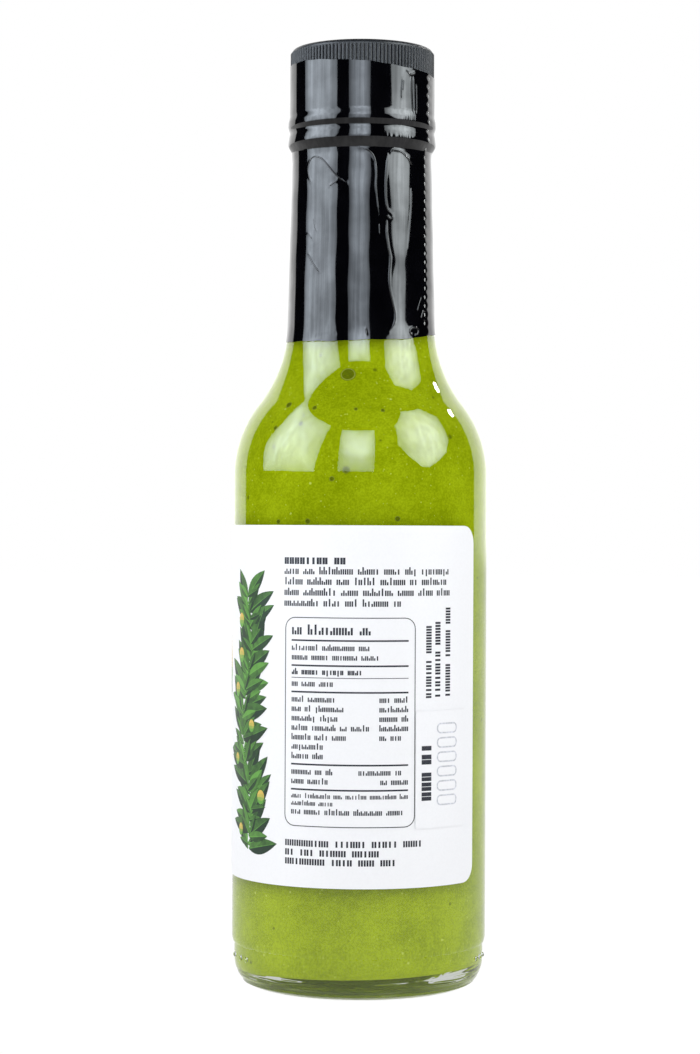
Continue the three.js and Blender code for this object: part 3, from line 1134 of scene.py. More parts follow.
def strip_mesh(name, strips):
    """A thin plate of strips, each between two edges and with its own shade. It is 1 thick."""
    vertices = []
    faces = []
    walls = []
    shades = []
    for upper, lower, shade in strips:
        first = len(vertices)
        count = len(upper)
        for out in (0.0, -1.0):
            vertices += [(along, up, out) for along, up in upper]
            vertices += [(along, up, out) for along, up in lower]
        shades += [shade] * (4 * count)
        for i in range(count - 1):
            a, b = first + i, first + i + 1
            c, d = a + count, b + count
            under = 2 * count
            faces.append((c, d, b, a))
            faces.append((a + under, b + under, d + under, c + under))
            walls.append((a, b, b + under, a + under))
            walls.append((d, c, c + under, d + under))
        for i in (0, count - 1):
            a, c = first + i, first + i + count
            end = (a, a + 2 * count, c + 2 * count, c)
            walls.append(end if i == 0 else end[::-1])
    spots = [frozenset(tuple(np.round(vertices[i], 7)) for i in wall) for wall in walls]
    faces += [wall for wall, spot in zip(walls, spots) if len(spot) == 4 and spots.count(spot) == 1]
    mesh = new_mesh(name, vertices, faces, SHARP_PLATE)
    set_values(mesh, "shade", shades)
    return mesh


def bar_mark(segments):
    """A plate 1 wide and 1 high."""
    edge = np.linspace(-0.5, 0.5, segments + 1)
    return strip_mesh("bar_mark", [([(x, 0.5) for x in edge], [(x, -0.5) for x in edge], 0.0)])


def tick_marks():
    """Plain upright strokes, first light ones and then heavy ones, in a box 1 wide and 1 high."""
    shapes = []
    for stem in TICK_STEMS:
        middle = (-stem / 2, -0.5, stem / 2, 0.5)
        left = (-0.5, -0.5, stem - 0.5, 0.5)
        right = (0.5 - stem, -0.5, 0.5, 0.5)
        low_left = (-0.5, -0.5, stem - 0.5, TICK_HALF)
        low_right = (0.5 - stem, -0.5, 0.5, TICK_HALF)
        shapes += [(middle,), (left, right), (left, low_right), (low_left, right)]
    return [stroke_mesh(f"tick_{i}", strokes) for i, strokes in enumerate(shapes)]


def stroke_mesh(name, strokes):
    """Plates for strokes given as (left, foot, right, top)."""
    strips = []
    for left, foot, right, top in strokes:
        strips.append(([(left, top), (right, top)], [(left, foot), (right, foot)], 0.0))
    return strip_mesh(name, strips)


def leaf_mark(left_shade, right_shade):
    """A leaf 1 long and 1 wide: two halves that differ in shade and a pale midrib."""
    along = np.linspace(0.0, 1.0, 10)
    half = 0.5 * np.sin(math.pi * along**0.85) ** 0.9 + LEAF_TIP
    rib = LEAF_RIB * (1 - along) + LEAF_TIP
    half = np.maximum(half, rib)
    return strip_mesh(
        "leaf_mark",
        [
            (list(zip(along, half)), list(zip(along, rib)), left_shade),
            (list(zip(along, -rib)), list(zip(along, -half)), right_shade),
            (list(zip(along, rib)), list(zip(along, -rib)), LEAF_SHADES[2]),
        ],
    )


def disc_mark():
    """A round plate 1 wide, lighter towards its upper side."""
    angles = np.linspace(math.pi, 0.0, 15)
    levels = (1.0, 0.5, 0.0, -0.5, -1.0)
    strips = []
    for high, low in zip(levels, levels[1:]):
        upper = [(0.5 * math.cos(a), 0.5 * math.sin(a) * high) for a in angles]
        lower = [(0.5 * math.cos(a), 0.5 * math.sin(a) * low) for a in angles]
        strips.append((upper, lower, 0.5 + 0.25 * (high + low)))
    return strip_mesh("disc_mark", strips)


def pod_mark():
    """A chilli pod 1 long, hanging down and curling to one side."""
    along = np.linspace(0.0, 1.0, 14)
    centre = POD_CURL * along**2.2
    swell = 0.75 + 0.25 * np.sin(math.pi * along)
    half = POD_HALF * np.sqrt(np.clip(1 - along**1.7, 0, 1)) * swell + POD_TIP
    edges = [centre + band * half for band in POD_BANDS]
    strips = []
    for left, right, shade in zip(edges, edges[1:], POD_SHADES):
        strips.append((list(zip(right, -along)), list(zip(left, -along)), shade))
    return strip_mesh("pod_mark", strips)


def outline_mark(name, width, height, corner, line):
    """A rounded frame drawn with a thin line, at its true size."""

    def path(inset):
        x, y = width / 2 - corner, height / 2 - corner
        points = []
        for quarter, (sx, sy) in enumerate(((1, 1), (-1, 1), (-1, -1), (1, -1))):
            points += arc((sx * x, sy * y), (corner - inset,) * 2, 90 * quarter, 90 * quarter + 90, 6)
        return divided(points + points[:1], BEND_STEP)

    return strip_mesh(name, [(path(line), path(0.0), 0.0)])


def divided(points, longest):
    """The same path with its long stretches cut into shorter ones."""
    path = [points[0]]
    for start, end in zip(points, points[1:]):
        pieces = max(1, math.ceil(math.dist(start, end) / longest))
        for i in range(1, pieces + 1):
            path.append(tuple(a + (b - a) * i / pieces for a, b in zip(start, end)))
    return path


# Cap

RIB_FOOT = 159.4 * MM
RIB_TOP = 171.1 * MM
RIB_RADIUS = 0.34 * MM
CAP_EDGE = 0.9 * MM
CAP_INNER_RADIUS = 11.9 * MM
CAP_TOP_THICKNESS = 1.7 * MM
RIM_HEIGHT = 1.0 * MM
RIM_ROUND = 0.5 * MM
TOP_STEP_RADIUS = 11.2 * MM
TOP_STEP = 0.22 * MM
STEP_FOOT = 0.1 * MM  # how far inside the step the flat disc starts
EDGE_OUT = 0.12 * MM  # how far the rounded edge stands out over the roots of the ribs
RIB_END = 0.4 * MM  # how far under the ribs' tops the wall turns into the edge
CAP_MIDDLE = 4.0 * MM  # radius of the innermost ring
CAP_COLUMNS = 232


class BOTTLE_OT_cap(bpy.types.Operator):
    """Makes the ribbed cap."""

    bl_idname = "bottle.cap"
    bl_label = "Ribbed Cap"

    def execute(self, context):
        cap = look().cap
        root = cap.rib_crest - cap.rib_depth
        ceiling = cap.top - CAP_TOP_THICKNESS
        rim = arc((cap.rim_radius - RIM_ROUND, cap.foot + RIM_ROUND), (RIM_ROUND,) * 2, -90, 0, 6)
        edge = arc((root + EDGE_OUT - CAP_EDGE, cap.top - CAP_EDGE), (CAP_EDGE,) * 2, 0, 90, 10)
        step = arc((TOP_STEP_RADIUS, cap.top - TOP_STEP), (TOP_STEP,) * 2, 90, 180, 5)
        outside = rim + [(cap.rim_radius, cap.foot + RIM_HEIGHT), (root, RIB_FOOT + cap.rib_depth)]
        disc = cap.top - TOP_STEP
        top = [(TOP_STEP_RADIUS - TOP_STEP - STEP_FOOT, disc), (CAP_MIDDLE, disc)]
        inside = [(CAP_MIDDLE, ceiling), (CAP_INNER_RADIUS, ceiling), (CAP_INNER_RADIUS, cap.foot)]
        profile = inside + outside + [(root, RIB_TOP - RIB_END)] + edge + step + top
        cup = ring_mesh("ribbed_cap", turned_rings(profile, CAP_COLUMNS), (ceiling, disc))
        piece = new_object("ribbed_cap", cup)
        material = cap_material()
        run_tree(
            piece,
            ribs_tree(),
            {
                "Ribs": cap.rib_count,
                "Crest": cap.rib_crest,
                "Rib Radius": RIB_RADIUS,
                "Rib Height": RIB_TOP - RIB_FOOT,
                "Rib Middle": (RIB_TOP + RIB_FOOT) / 2,
                "Material": material,
            },
        )
        piece.data.shade_smooth()
        piece.data.set_sharp_from_angle(angle=math.radians(SHARP_RIB))
        dress(piece, material, "cap", "cap")
        return {"FINISHED"}


# Shrink sleeve

SLEEVE_FRONT = 75.0  # half-angle of the finely divided front
SLEEVE_COLUMNS = (310, 130)
SLEEVE_ROWS = 205
SLEEVE_WAIST = 0.26 * MM
SLEEVE_SOFTNESS = 0.14 * MM
LINING_ROWS = 14
FLATTEN = 13.1 * MM  # mean radius that turns an angle into a distance on the film

# Creases: rise and half-width in millimetres, then places as (degrees, height in millimetres)
CREASES = (
    (0.06, 0.24, ((-44.8, 146.2), (-47.3, 147.2), (-49.5, 149), (-47, 150.5), (-42.6, 151.1), (-36.4, 150.8),
                  (-31.3, 150), (-21.7, 147.4), (-16.2, 146.5), (-11.9, 145.9))),
    (0.06, 0.22, ((-20, 146.4), (-26.7, 145.4))),
    (0.05, 0.25, ((-47.2, 137.2), (-42.7, 136.1))),
    (0.06, 0.25, ((-45.9, 133.4), (-42.2, 131.9), (-34.8, 130))),
    (0.03, 0.25, ((-41.8, 139.7), (-40.9, 138.5), (-38.1, 137.2))),
    (0.06, 0.26, ((-2.8, 152.3), (3.5, 151.9), (8.2, 151.2), (10.8, 149.8), (11.6, 147.4), (11, 145.3),
                  (11.9, 143), (13.4, 140))),
    (0.04, 0.2, ((13.5, 138.5), (13.9, 136.6))),
    (0.08, 0.24, ((43.7, 149.6), (38.9, 150.9), (32.4, 151.9), (26.3, 152.1), (22.9, 151.5))),
    (0.08, 0.24, ((20.6, 151), (19.5, 148.9), (18.6, 145.9), (18.9, 143), (19.8, 141.2), (24.2, 140.3))),
    (0.07, 0.22, ((19.8, 140.2), (22.5, 139.4), (25.4, 139.8))),
    (0.08, 0.24, ((19.2, 139), (19.4, 136.7), (20.8, 134.3), (22.7, 132.4), (21.5, 129.6), (21.4, 127.2),
                  (24.8, 124), (26.2, 122.6), (26.1, 120.7), (20.8, 119))),
    (0.05, 0.25, ((43.4, 145.1), (42.7, 141.7), (39.9, 136.5), (38.8, 134.3))),
    (0.09, 0.22, ((41.9, 118.7), (39.2, 118.9), (39, 119.6), (42.6, 120.1), (47.5, 120.1), (48.7, 119.3),
                  (45.3, 118.7))),
    (0.05, 0.2, ((53.2, 125.8), (49.7, 124.3), (48, 123.1))),
    (0.06, 0.2, ((55.6, 123.5), (53.7, 122.7), (52.4, 121.9))),
    (-0.06, 0.2, ((-36, 118.3), (-28.5, 118.5), (-20, 118.6))),
    (0.05, 0.2, ((2.9, 119.6), (3.8, 118.4))),
    (0.06, 0.16, ((32.1, 164.9), (31.2, 162.7), (31.4, 161.3))),
    (0.05, 0.16, ((33.4, 164.7), (32.6, 162.8))),
    (0.07, 0.16, ((40.7, 165.3), (40.6, 162.2), (41.8, 159.8), (42.4, 159))),
    (0.07, 0.16, ((43.3, 165.5), (43.9, 162.3), (44.5, 159.1))),
    (0.06, 0.16, ((46.6, 164.2), (47.1, 159.2))),
    (0.08, 0.24, ((35.2, 166.6), (37.6, 166.2), (39.6, 165.8), (42.7, 166.0), (44.9, 166.3))),
    (0.06, 0.26, ((108, 151), (112, 146), (110, 138), (116, 130), (114, 122))),
    (0.05, 0.24, ((150, 150), (163, 149), (170, 144), (166, 139))),
    (0.06, 0.24, ((192, 151), (189, 141), (194, 133), (190, 124), (196, 119.5))),
    (0.05, 0.26, ((222, 140), (229, 136), (238, 134))),
    (0.05, 0.26, ((252, 150), (258, 144), (254, 137), (259, 128))),
)
# Places where the film bulges: degrees and height, half-width and half-height, and rise, in millimetres
BULGES = ((33.0, 133.0, 2.0, 2.0, 0.035), (-52.0, 128.0, 2.5, 6.0, 0.03))
# Places where it is drawn flat between two creases, with the rise of its sides
FLATS = ((32.0, 145.5, 2.6, 6.5, 0.045),)
# Tight little wrinkles over the cap's rim and the bead: height, first and last angle, and how many
CRIMPS = ((157.7, 31, 47, 9), (154.25, 16, 43, 9), (154.4, 150, 176, 12), (157.7, 214, 236, 10))
CRIMP_RISE = 0.05 * MM
CRIMP_REACH = 0.55 * MM
CRIMP_SWAY = (2.6, 9.0)  # how unevenly they are spaced, and how fast that changes
CREASE_SKIRT = 0.4  # rise of the film beside a crease, as a part of the crease's own
# Slow waves: rise, how many, counts round the bottle, lengths, and how they fade above the neck
WAVE_RISE = 0.005 * MM
WAVES = 9
WAVE_COUNTS = (3, 11)
WAVE_LENGTHS = (9.0 * MM, 30.0 * MM)
WAVE_FADE = 3.0 * MM
WAVE_LEAST = 0.35
WAVE_SEED = 5
# How the two edges lean, to the right and to the front, and how they fray as (size, count, phase)
FOOT_LEAN = (0.45 * MM, -1.0 * MM)
TOP_LEAN = (-1.1 * MM, 0.3 * MM)
FRAY = ((0.05 * MM, 7, 1.0), (0.04 * MM, 19, 0.0))
# Where the lower edge is drawn up: angle in degrees, rise, and the cosine from which it starts
FOOT_LIFT_ANGLE = 95.0
FOOT_LIFT = 0.6 * MM
FOOT_LIFT_START = 0.55
# Smoothing of the profile: reach in softnesses, and how many samples
SOFT_REACH = 1.5
SOFT_SAMPLES = 9


def sleeve_edges(angles):
    """Heights of the sleeve's lower and upper edges round the bottle."""
    sleeve = look().sleeve
    facing = np.cos(angles - math.radians(FOOT_LIFT_ANGLE))
    lift = FOOT_LIFT * np.clip((facing - FOOT_LIFT_START) / (1 - FOOT_LIFT_START), 0, 1)
    across = np.stack([np.sin(angles), np.cos(angles)], axis=-1)
    frayed = sum(size * np.sin(count * angles + phase) for size, count, phase in FRAY)
    return sleeve.foot + across @ FOOT_LEAN + lift + frayed, sleeve.top + across @ TOP_LEAN + frayed


def sleeve_radius(heights):
    """The film's inner radius: snug on the cap, in below its rim, out over the bead, along the neck."""
    cap, gap = look().cap, look().sleeve.gap
    neck = neck_top_radius()
    # A radius, and then what is added to it and the height over the cap's foot, in millimetres
    stops = (
        (neck, 0.04, -5.0),
        (BEAD_RADIUS, -0.08, -3.85),
        (BEAD_RADIUS, 0.0, -3.6),
        (BEAD_RADIUS, 0.0, -3.1),
        (BEAD_RADIUS, -0.12, -2.1),
        (BEAD_RADIUS, -0.2, -1.75),
        (cap.rim_radius - SLEEVE_WAIST, 0.0, -1.35),
        (cap.rim_radius - SLEEVE_WAIST, 0.0, -1.15),
        (cap.rim_radius, 0.0, -0.3),
        (cap.rim_radius, 0.0, 0.6),
        (cap.rib_crest, 0.0, 1.7),
    )
    line = [(radius + more * MM, cap.foot + rise * MM) for radius, more, rise in stops]
    radii, levels = np.array([(neck, NECK_TOP)] + line + [(cap.rib_crest, cap.top)]).T

    def bare(height):
        return np.where(height < NECK_TOP, outer_radius(height), np.interp(height, levels, radii))

    shifts = np.linspace(-SOFT_REACH, SOFT_REACH, SOFT_SAMPLES)
    weights = np.exp(-(shifts**2))
    soft = sum(w * bare(heights + s * SLEEVE_SOFTNESS) for s, w in zip(shifts, weights))
    return soft / weights.sum() + gap


def crease_relief(along, heights):
    """Ridges that follow the creases, on flat distances along the film."""
    relief = np.zeros(along.shape)
    around_once = 2 * math.pi * FLATTEN
    for rise, width, places in CREASES:
        path = [(math.radians(degrees) * FLATTEN, height * MM) for degrees, height in places]
        nearest = np.full(along.shape, np.inf)
        for (ax, az), (bx, bz) in zip(path, path[1:]):
            dx = (along - ax + around_once / 2) % around_once - around_once / 2
            dz = heights - az
            span = (bx - ax) ** 2 + (bz - az) ** 2
            share = np.clip((dx * (bx - ax) + dz * (bz - az)) / span, 0, 1)
            gap = (dx - share * (bx - ax)) ** 2 + (dz - share * (bz - az)) ** 2
            nearest = np.minimum(nearest, gap)
        relief += CREASE_SKIRT * rise * MM * np.exp(-nearest / (width * MM) ** 2)
    return relief


def wave_relief(angles, heights):
    """Slow waves of the shrunk film."""
    draw = random.Random(WAVE_SEED)
    relief = np.zeros(angles.shape)
    for _ in range(WAVES):
        count = draw.randint(*WAVE_COUNTS)
        rate = 2 * math.pi / draw.uniform(*WAVE_LENGTHS)
        phase = draw.uniform(0.0, 2 * math.pi)
        relief += np.sin(count * angles + rate * heights + phase)
    on_neck = np.clip((NECK_TOP - heights) / WAVE_FADE, WAVE_LEAST, 1.0)
    return relief * WAVE_RISE * on_neck


def crimp_relief(angles, heights):
    """Rows of tight wrinkles where the film turns a corner."""
    relief = np.zeros(angles.shape)
    for height, first, last, count in CRIMPS:
        share = (np.degrees(angles) - first) / (last - first)
        window = np.clip(4 * share * (1 - share), 0, 1)
        ripple = np.sin(share * count * 2 * math.pi + CRIMP_SWAY[0] * np.sin(share * CRIMP_SWAY[1]))
        relief += CRIMP_RISE * window * ripple * np.exp(-(((heights - height * MM) / CRIMP_REACH) ** 2))
    return relief


class BOTTLE_OT_sleeve(bpy.types.Operator):
    """Makes the creased shrink sleeve over the cap and the neck."""

    bl_idname = "bottle.sleeve"
    bl_label = "Shrink Sleeve"

    def execute(self, context):
        turns = (-SLEEVE_FRONT, SLEEVE_FRONT, 360.0 - SLEEVE_FRONT)
        stretches = zip(turns, turns[1:], SLEEVE_COLUMNS)
        angles = np.radians(np.concatenate([np.linspace(*stretch, endpoint=False) for stretch in stretches]))
        foot, top = sleeve_edges(angles)
        share = np.linspace(0.0, 1.0, SLEEVE_ROWS)[:, None]
        heights = foot + share * (top - foot)
        spread = np.broadcast_to(angles, heights.shape)
        film = self.rings(film_face(spread, heights), angles, heights)
        share = np.linspace(1.0, 0.0, LINING_ROWS)[:, None]
        heights = foot + share * (top - foot)
        lining = self.rings(sleeve_radius(heights), angles, heights)
        mesh = ring_mesh("black_sleeve", np.concatenate([film, lining]), None, SHARP_MARK)
        new_piece("black_sleeve", mesh, film_material("black_film"), "sleeve", "shrink_sleeve")
        return {"FINISHED"}

    @staticmethod
    def rings(radii, angles, heights):
        """Rows of points at these radii, angles and heights."""
        return np.stack([radii * np.sin(angles), -radii * np.cos(angles), heights], axis=-1)


DEEPEST_DENT = 0.5  # how deep the film is dented at most, as a part of its thickness
RIDGE_STEP = 0.12 * MM
RIDGE_ROUNDS = 3
RIDGE_SIZE = 3.0  # radius of a ridge, as a part of its crease's rise
RIDGE_SINK = 0.62  # how deep its middle lies in the film, as a part of its radius
RIDGE_END = (3.0, 0.25)  # how fast a ridge swells from its ends, and its size there


def rounded_path(points, rounds):
    """The same path with its corners cut off again and again."""
    path = np.array(points, dtype=float)
    for _ in range(rounds):
        early = 0.75 * path[:-1] + 0.25 * path[1:]
        late = 0.25 * path[:-1] + 0.75 * path[1:]
        between = np.stack([early, late], axis=1).reshape(-1, 2)
        path = np.concatenate([path[:1], between, path[-1:]])
    return path


def film_distance(angles, degrees):
    """Distance along the film from an angle in degrees."""
    turned = angles - math.radians(degrees) + math.pi
    return (turned % (2 * math.pi) - math.pi) * FLATTEN


def bulge_relief(angles, heights):
    """Soft bulges and flat places, and the puckers on both sides of the tear line."""
    relief = np.zeros(angles.shape)
    for degrees, height, wide, high, rise in BULGES:
        aside = film_distance(angles, degrees) / (wide * MM)
        relief += rise * MM * np.exp(-(aside**2) - ((heights - height * MM) / (high * MM)) ** 2)
    for degrees, height, wide, high, rise in FLATS:
        aside = film_distance(angles, degrees) / (wide * MM)
        fade = np.exp(-(((heights - height * MM) / (high * MM)) ** 4))
        relief += rise * MM * aside**2 * np.exp(1 - aside**2) * fade
    aside = np.sin(angles - tear_line_angle(heights)) * FLATTEN / PUCKER_REACH
    return relief + PUCKER_RISE * np.exp(-(aside**2)) * np.sin(2 * math.pi * heights / TEAR_LINE_PITCH)


def film_relief(angles, heights):
    """How far the film stands out from its even profile."""
    relief = (
        crease_relief(angles * FLATTEN, heights)
        + wave_relief(angles, heights)
        + crimp_relief(angles, heights)
        + bulge_relief(angles, heights)
    )
    return np.maximum(relief, -DEEPEST_DENT * look().sleeve.thickness)


def film_face(angles, heights):
    """Radius of the film's outer face."""
    return sleeve_radius(heights) + look().sleeve.thickness + film_relief(angles, heights)


class BOTTLE_OT_creases(bpy.types.Operator):
    """Makes the sharp ridges where the film has folded on itself."""

    bl_idname = "bottle.creases"
    bl_label = "Film Creases"

    def execute(self, context):
        vertices = []
        edges = []
        swells = []
        for rise, _, places in CREASES:
            if rise > 0:
                path = rounded_path([(math.radians(a) * FLATTEN, h * MM) for a, h in places], RIDGE_ROUNDS)
                path = np.array(divided([tuple(point) for point in path], RIDGE_STEP))
                angles, heights = path[:, 0] / FLATTEN, path[:, 1]
                share = np.linspace(0.0, 1.0, len(path))
                ends = np.clip(np.sin(math.pi * share) * RIDGE_END[0], RIDGE_END[1], 1.0)
                swell = RIDGE_SIZE * rise * MM * ends
                radii = film_face(angles, heights) - RIDGE_SINK * swell
                first = len(vertices)
                vertices += list(zip(radii * np.sin(angles), -radii * np.cos(angles), heights))
                edges += [(first + i, first + i + 1) for i in range(len(path) - 1)]
                swells += list(swell)
        mesh = bpy.data.meshes.new("sleeve_creases")
        mesh.from_pydata(vertices, edges, [])
        set_values(mesh, "swell", swells)
        piece = new_object("sleeve_creases", mesh)
        material = film_material("crease_film")
        run_tree(piece, ridges_tree(), {"Material": material})
        piece.data.shade_smooth()
        dress(piece, material, "sleeve")
        return {"FINISHED"}


TEAR_LINE_ANGLE = 58.5
TEAR_LINE_LEAN = 0.16  # degrees that it leans over for each millimetre up
TEAR_LINE_PITCH = 1.6 * MM
TEAR_LINE_FOOT = 121.0 * MM
TEAR_LINE_TOP = 166.0 * MM
TEAR_LINE_LEVEL = 129.0 * MM
DASH_SIZE = (0.34 * MM, 0.75 * MM, 0.22 * MM)
PUCKER_RISE = 0.035 * MM
PUCKER_REACH = 0.9 * MM


def tear_line_angle(heights):
    """Angle of the leaning tear line at these heights."""
    return np.radians(TEAR_LINE_ANGLE + TEAR_LINE_LEAN * (heights - TEAR_LINE_LEVEL) / MM)


class BOTTLE_OT_tear_line(bpy.types.Operator):
    """Makes the line of small slits with raised lips that the sleeve tears along."""

    bl_idname = "bottle.tear_line"
    bl_label = "Tear Line"

    def execute(self, context):
        marks = Marks()
        for height in np.arange(TEAR_LINE_FOOT, TEAR_LINE_TOP, TEAR_LINE_PITCH):
            angle = float(tear_line_angle(height))
            face = film_face(np.array([angle]), np.array([height]))
            marks.add((angle * FLATTEN, float(height), float(face[0]) - FLATTEN), DASH_SIZE)
        half_round = arc((0.0, 0.0), (0.5, 0.5), -80, 80, 6)
        shape = ring_mesh("dash_mark", turned_rings(half_round, 10), (-0.5, 0.5), SHARP_DASH)
        material = paper_material("whitened_film", look().sleeve.stressed)
        dress(marks.wrap("sleeve_tear_line", FLATTEN, material, shape), material, "sleeve")
        return {"FINISHED"}


# Label

LABEL_STATIONS = 300
PRINT_LIFT = 0.012 * MM
PRINT_THICKNESS = 0.03 * MM
FIELD_LIFT = 0.03 * MM  # lift of wide or bold print, so that the bent paper never shows through it
HEAVY_TICKS = 4  # where the heavy shapes start
LETTER_SEED = 11
ART_SEED = 4
STICKER_CORNER = 0.4 * MM
STICKER_STATIONS = 24
# Letters in the words of a row, and the widths of a letter as parts of its height
WORD_LENGTHS = (2, 3, 4, 5, 5, 6, 7, 8, 9)
EVEN_PITCH = 0.86
LETTER_PITCH = 0.8
TICK_FILL = 0.86  # part of a letter's room that its ticks fill
EVEN_KINDS = (0, 1, 1)
LETTER_KINDS = (0, 1, 1, 1, 2, 3)
# Ticks that rise above or hang below a row: chance, height and shift as parts of the letter's height
TALL_TICK = (0.4, 1.4, 0.2)
DEEP_TICK = (0.2, 1.3, -0.15)

# Rows in millimetres: the heading as (end, level, size), rows above and under the panel as (level, end),
# upright rows beside it as (along, start, end), and the ends of the far panel's rows
ROWS_LEFT = -14.4
HEADING = (-2.6, 77.9, 1.2)
INTRO_ROWS = ((76.0, 17.2), (74.15, 18.2), (72.25, 17.5), (70.35, 7.3))
INTRO_SIZE = 0.95
NOTES_LEFT = -14.0
NOTE_ROWS = ((28.0, 11.6), (26.35, 3.5), (24.75, 6.6))
NOTE_SIZE = 1.1
SIDE_ROWS = ((12.8, 53.6, 66.5), (14.75, 53.5, 67.2), (17.1, 53.6, 69.7))
SIDE_SIZE = 1.15
FAR_LEFT = -102.0
FAR_ENDS = (-74, -72, -73.5, -71, -76, -72.5, -71.5, -84)
FAR_TOP = 76.0
FAR_PITCH = 1.9

# Print of the sticker: place, size and words of its bold upright row, and its stamped rings
BOLD_PLACE = 12.4
BOLD_SIZE = 2.0
BOLD_WORDS = ((35.4, 40.6), (41.8, 45.8))
RING_PLACE = 17.0
RING_FOOT = 35.5
RING_PITCH = 2.55
RING_COUNT = 6
RING_SIZE = (4.8 * MM, 1.9 * MM)
RING_CORNER = 0.85 * MM
RING_LINE = 0.26 * MM

# Text panel, as flat places in millimetres: along the label from the side that faces -Y, and up
PANEL_LEFT = -14.1
PANEL_RIGHT = 10.1
PANEL_FOOT = 30.95
PANEL_TOP = 67.95
PANEL_CORNER = 2.0
PANEL_LINE = 0.16
PANEL_MARGIN = 1.35
# Rows of the panel from its top: kind, share of the width, and share of a right-hand column
PANEL_ROWS = (
    ("title", 0.73, 0),
    ("thick", 1, 0),
    ("line", 0.67, 0),
    ("line", 0.78, 0),
    ("thick", 1, 0),
    ("bold", 0.61, 0),
    ("thin", 1, 0),
    ("line", 0.37, 0),
    ("thick", 1, 0),
    ("line", 0.42, 0.25),
    ("line", 0.49, 0.25),
    ("line", 0.41, 0.25),
    ("line", 0.73, 0.25),
    ("line", 0.48, 0.25),
    ("line", 0.32, 0),
    ("line", 0.32, 0),
    ("thick", 1, 0),
    ("line", 0.4, 0.42),
    ("line", 0.36, 0.24),
    ("thick", 1, 0),
    ("small", 1, 0),
    ("small", 0.42, 0),
    ("line", 0.96, 0),
)
ROW_HEIGHTS = {"title": 2.2, "line": 1.67, "bold": 1.3, "small": 1.3, "thick": 1.1, "thin": 0.6}
ROW_TICKS = {"title": (1.3, False), "line": (0.8, False), "bold": (0.8, True), "small": (0.66, False)}
RULES = {"thick": 0.3, "thin": 0.12}


def label_radius():
    """Radius of the label's printed face."""
    label = look().label
    return look().glass.body_radius + label.gap + label.thickness


def wrapped_sheet(name, inner, thickness, start, span, foot, height, corner, stations):
    """A thin sheet with rounded corners, bent round the bottle from a starting angle."""
    rounded = corner * (1 - np.cos(np.linspace(0.0, math.pi / 2, 9)))
    middle = np.linspace(corner, span - corner, stations + 1)[1:-1]
    along = np.concatenate([rounded, middle, (span - rounded)[::-1]])
    from_end = np.minimum(along, span - along)
    inset = np.maximum(0.0, corner - from_end)
    cut = corner - np.sqrt(corner**2 - inset**2)
    angles = start + along / inner
    vertices = []
    faces = []
    for angle, trim in zip(angles, cut):
        low, high = foot + trim, foot + height - trim
        vertices += [around(inner, angle, low), around(inner, angle, high)]
        vertices += [around(inner + thickness, angle, high), around(inner + thickness, angle, low)]
    for i in range(len(angles) - 1):
        here, there = 4 * i, 4 * i + 4
        for side in range(4):
            after = (side + 1) % 4
            faces.append((here + side, here + after, there + after, there + side))
    last = len(vertices) - 4
    faces.append((3, 2, 1, 0))
    faces.append((last, last + 1, last + 2, last + 3))
    return new_mesh(name, vertices, faces, SHARP_PLATE)


class BOTTLE_OT_label(bpy.types.Operator):
    """Makes the wrapped label."""

    bl_idname = "bottle.label"
    bl_label = "Label"

    def execute(self, context):
        label = look().label
        inner = look().glass.body_radius + label.gap
        start = label.end - label.strip / inner
        mesh = wrapped_sheet(
            "wrapped_label",
            inner,
            label.thickness,
            start,
            label.strip,
            label.foot,
            label.height,
            label.corner,
            LABEL_STATIONS,
        )
        new_piece("wrapped_label", mesh, paper_material("label_paper", label.paper), "label", "label")
        return {"FINISHED"}


class BOTTLE_OT_sticker(bpy.types.Operator):
    """Makes the small sticker on the label."""

    bl_idname = "bottle.sticker"
    bl_label = "Date Sticker"

    def execute(self, context):
        label = look().label
        inner = label_radius() + label.gap
        start = label.sticker_middle - label.sticker_width / inner / 2
        height = STICKER_HIGH.z - STICKER_LOW.z
        mesh = wrapped_sheet(
            "plain_sticker",
            inner,
            label.thickness,
            start,
            label.sticker_width,
            STICKER_LOW.z,
            height,
            STICKER_CORNER,
            STICKER_STATIONS,
        )
        material = paper_material("sticker_paper", label.paper)
        new_piece("plain_sticker", mesh, material, "sticker", "date_sticker")
        return {"FINISHED"}


def word_lengths(draw, room):
    """Word lengths in letters that fill a row of that many letters, with a space after each."""
    words = []
    while room > 1:
        word = min(draw.choice(WORD_LENGTHS), room)
        words.append(word)
        room -= word + 1
    return words


class TextRows:
    """Rows of plain ticks that stand for print: grouped as words, and with no letter forms."""

    def __init__(self, out):
        self.marks = Marks()
        self.draw = random.Random(LETTER_SEED)
        self.out = out

    def tick(self, along, up, width, height, kind, upright):
        """One letter's ticks at a place in millimetres."""
        size = (width * MM, height * MM, PRINT_THICKNESS)
        facing = (0.0, 0.0, math.pi / 2 if upright else 0.0)
        self.marks.add((along * MM, up * MM, self.out), size, facing, 0.0, kind)

    def row(self, start, end, level, size, heavy=False, even=False, upright=False):
        """A row of ticks from start to end at a level. An even row has ticks of one height."""
        room = int((end - start) / (size * (EVEN_PITCH if even else LETTER_PITCH)))
        step = (end - start) / room
        place = start
        for word in word_lengths(self.draw, room):
            for _ in range(word):
                kind = self.draw.choice(EVEN_KINDS if even else LETTER_KINDS)
                high, shift = size, 0.0
                if not even and kind in (0, 2) and self.draw.random() < TALL_TICK[0]:
                    high, shift = TALL_TICK[1] * size, TALL_TICK[2] * size
                elif not even and kind == 0 and self.draw.random() < DEEP_TICK[0]:
                    high, shift = DEEP_TICK[1] * size, DEEP_TICK[2] * size
                centre = place + step / 2
                where = (level - shift, centre) if upright else (centre, level + shift)
                self.tick(*where, TICK_FILL * step, high, kind + (HEAVY_TICKS if heavy else 0), upright)
                place += step
            place += step


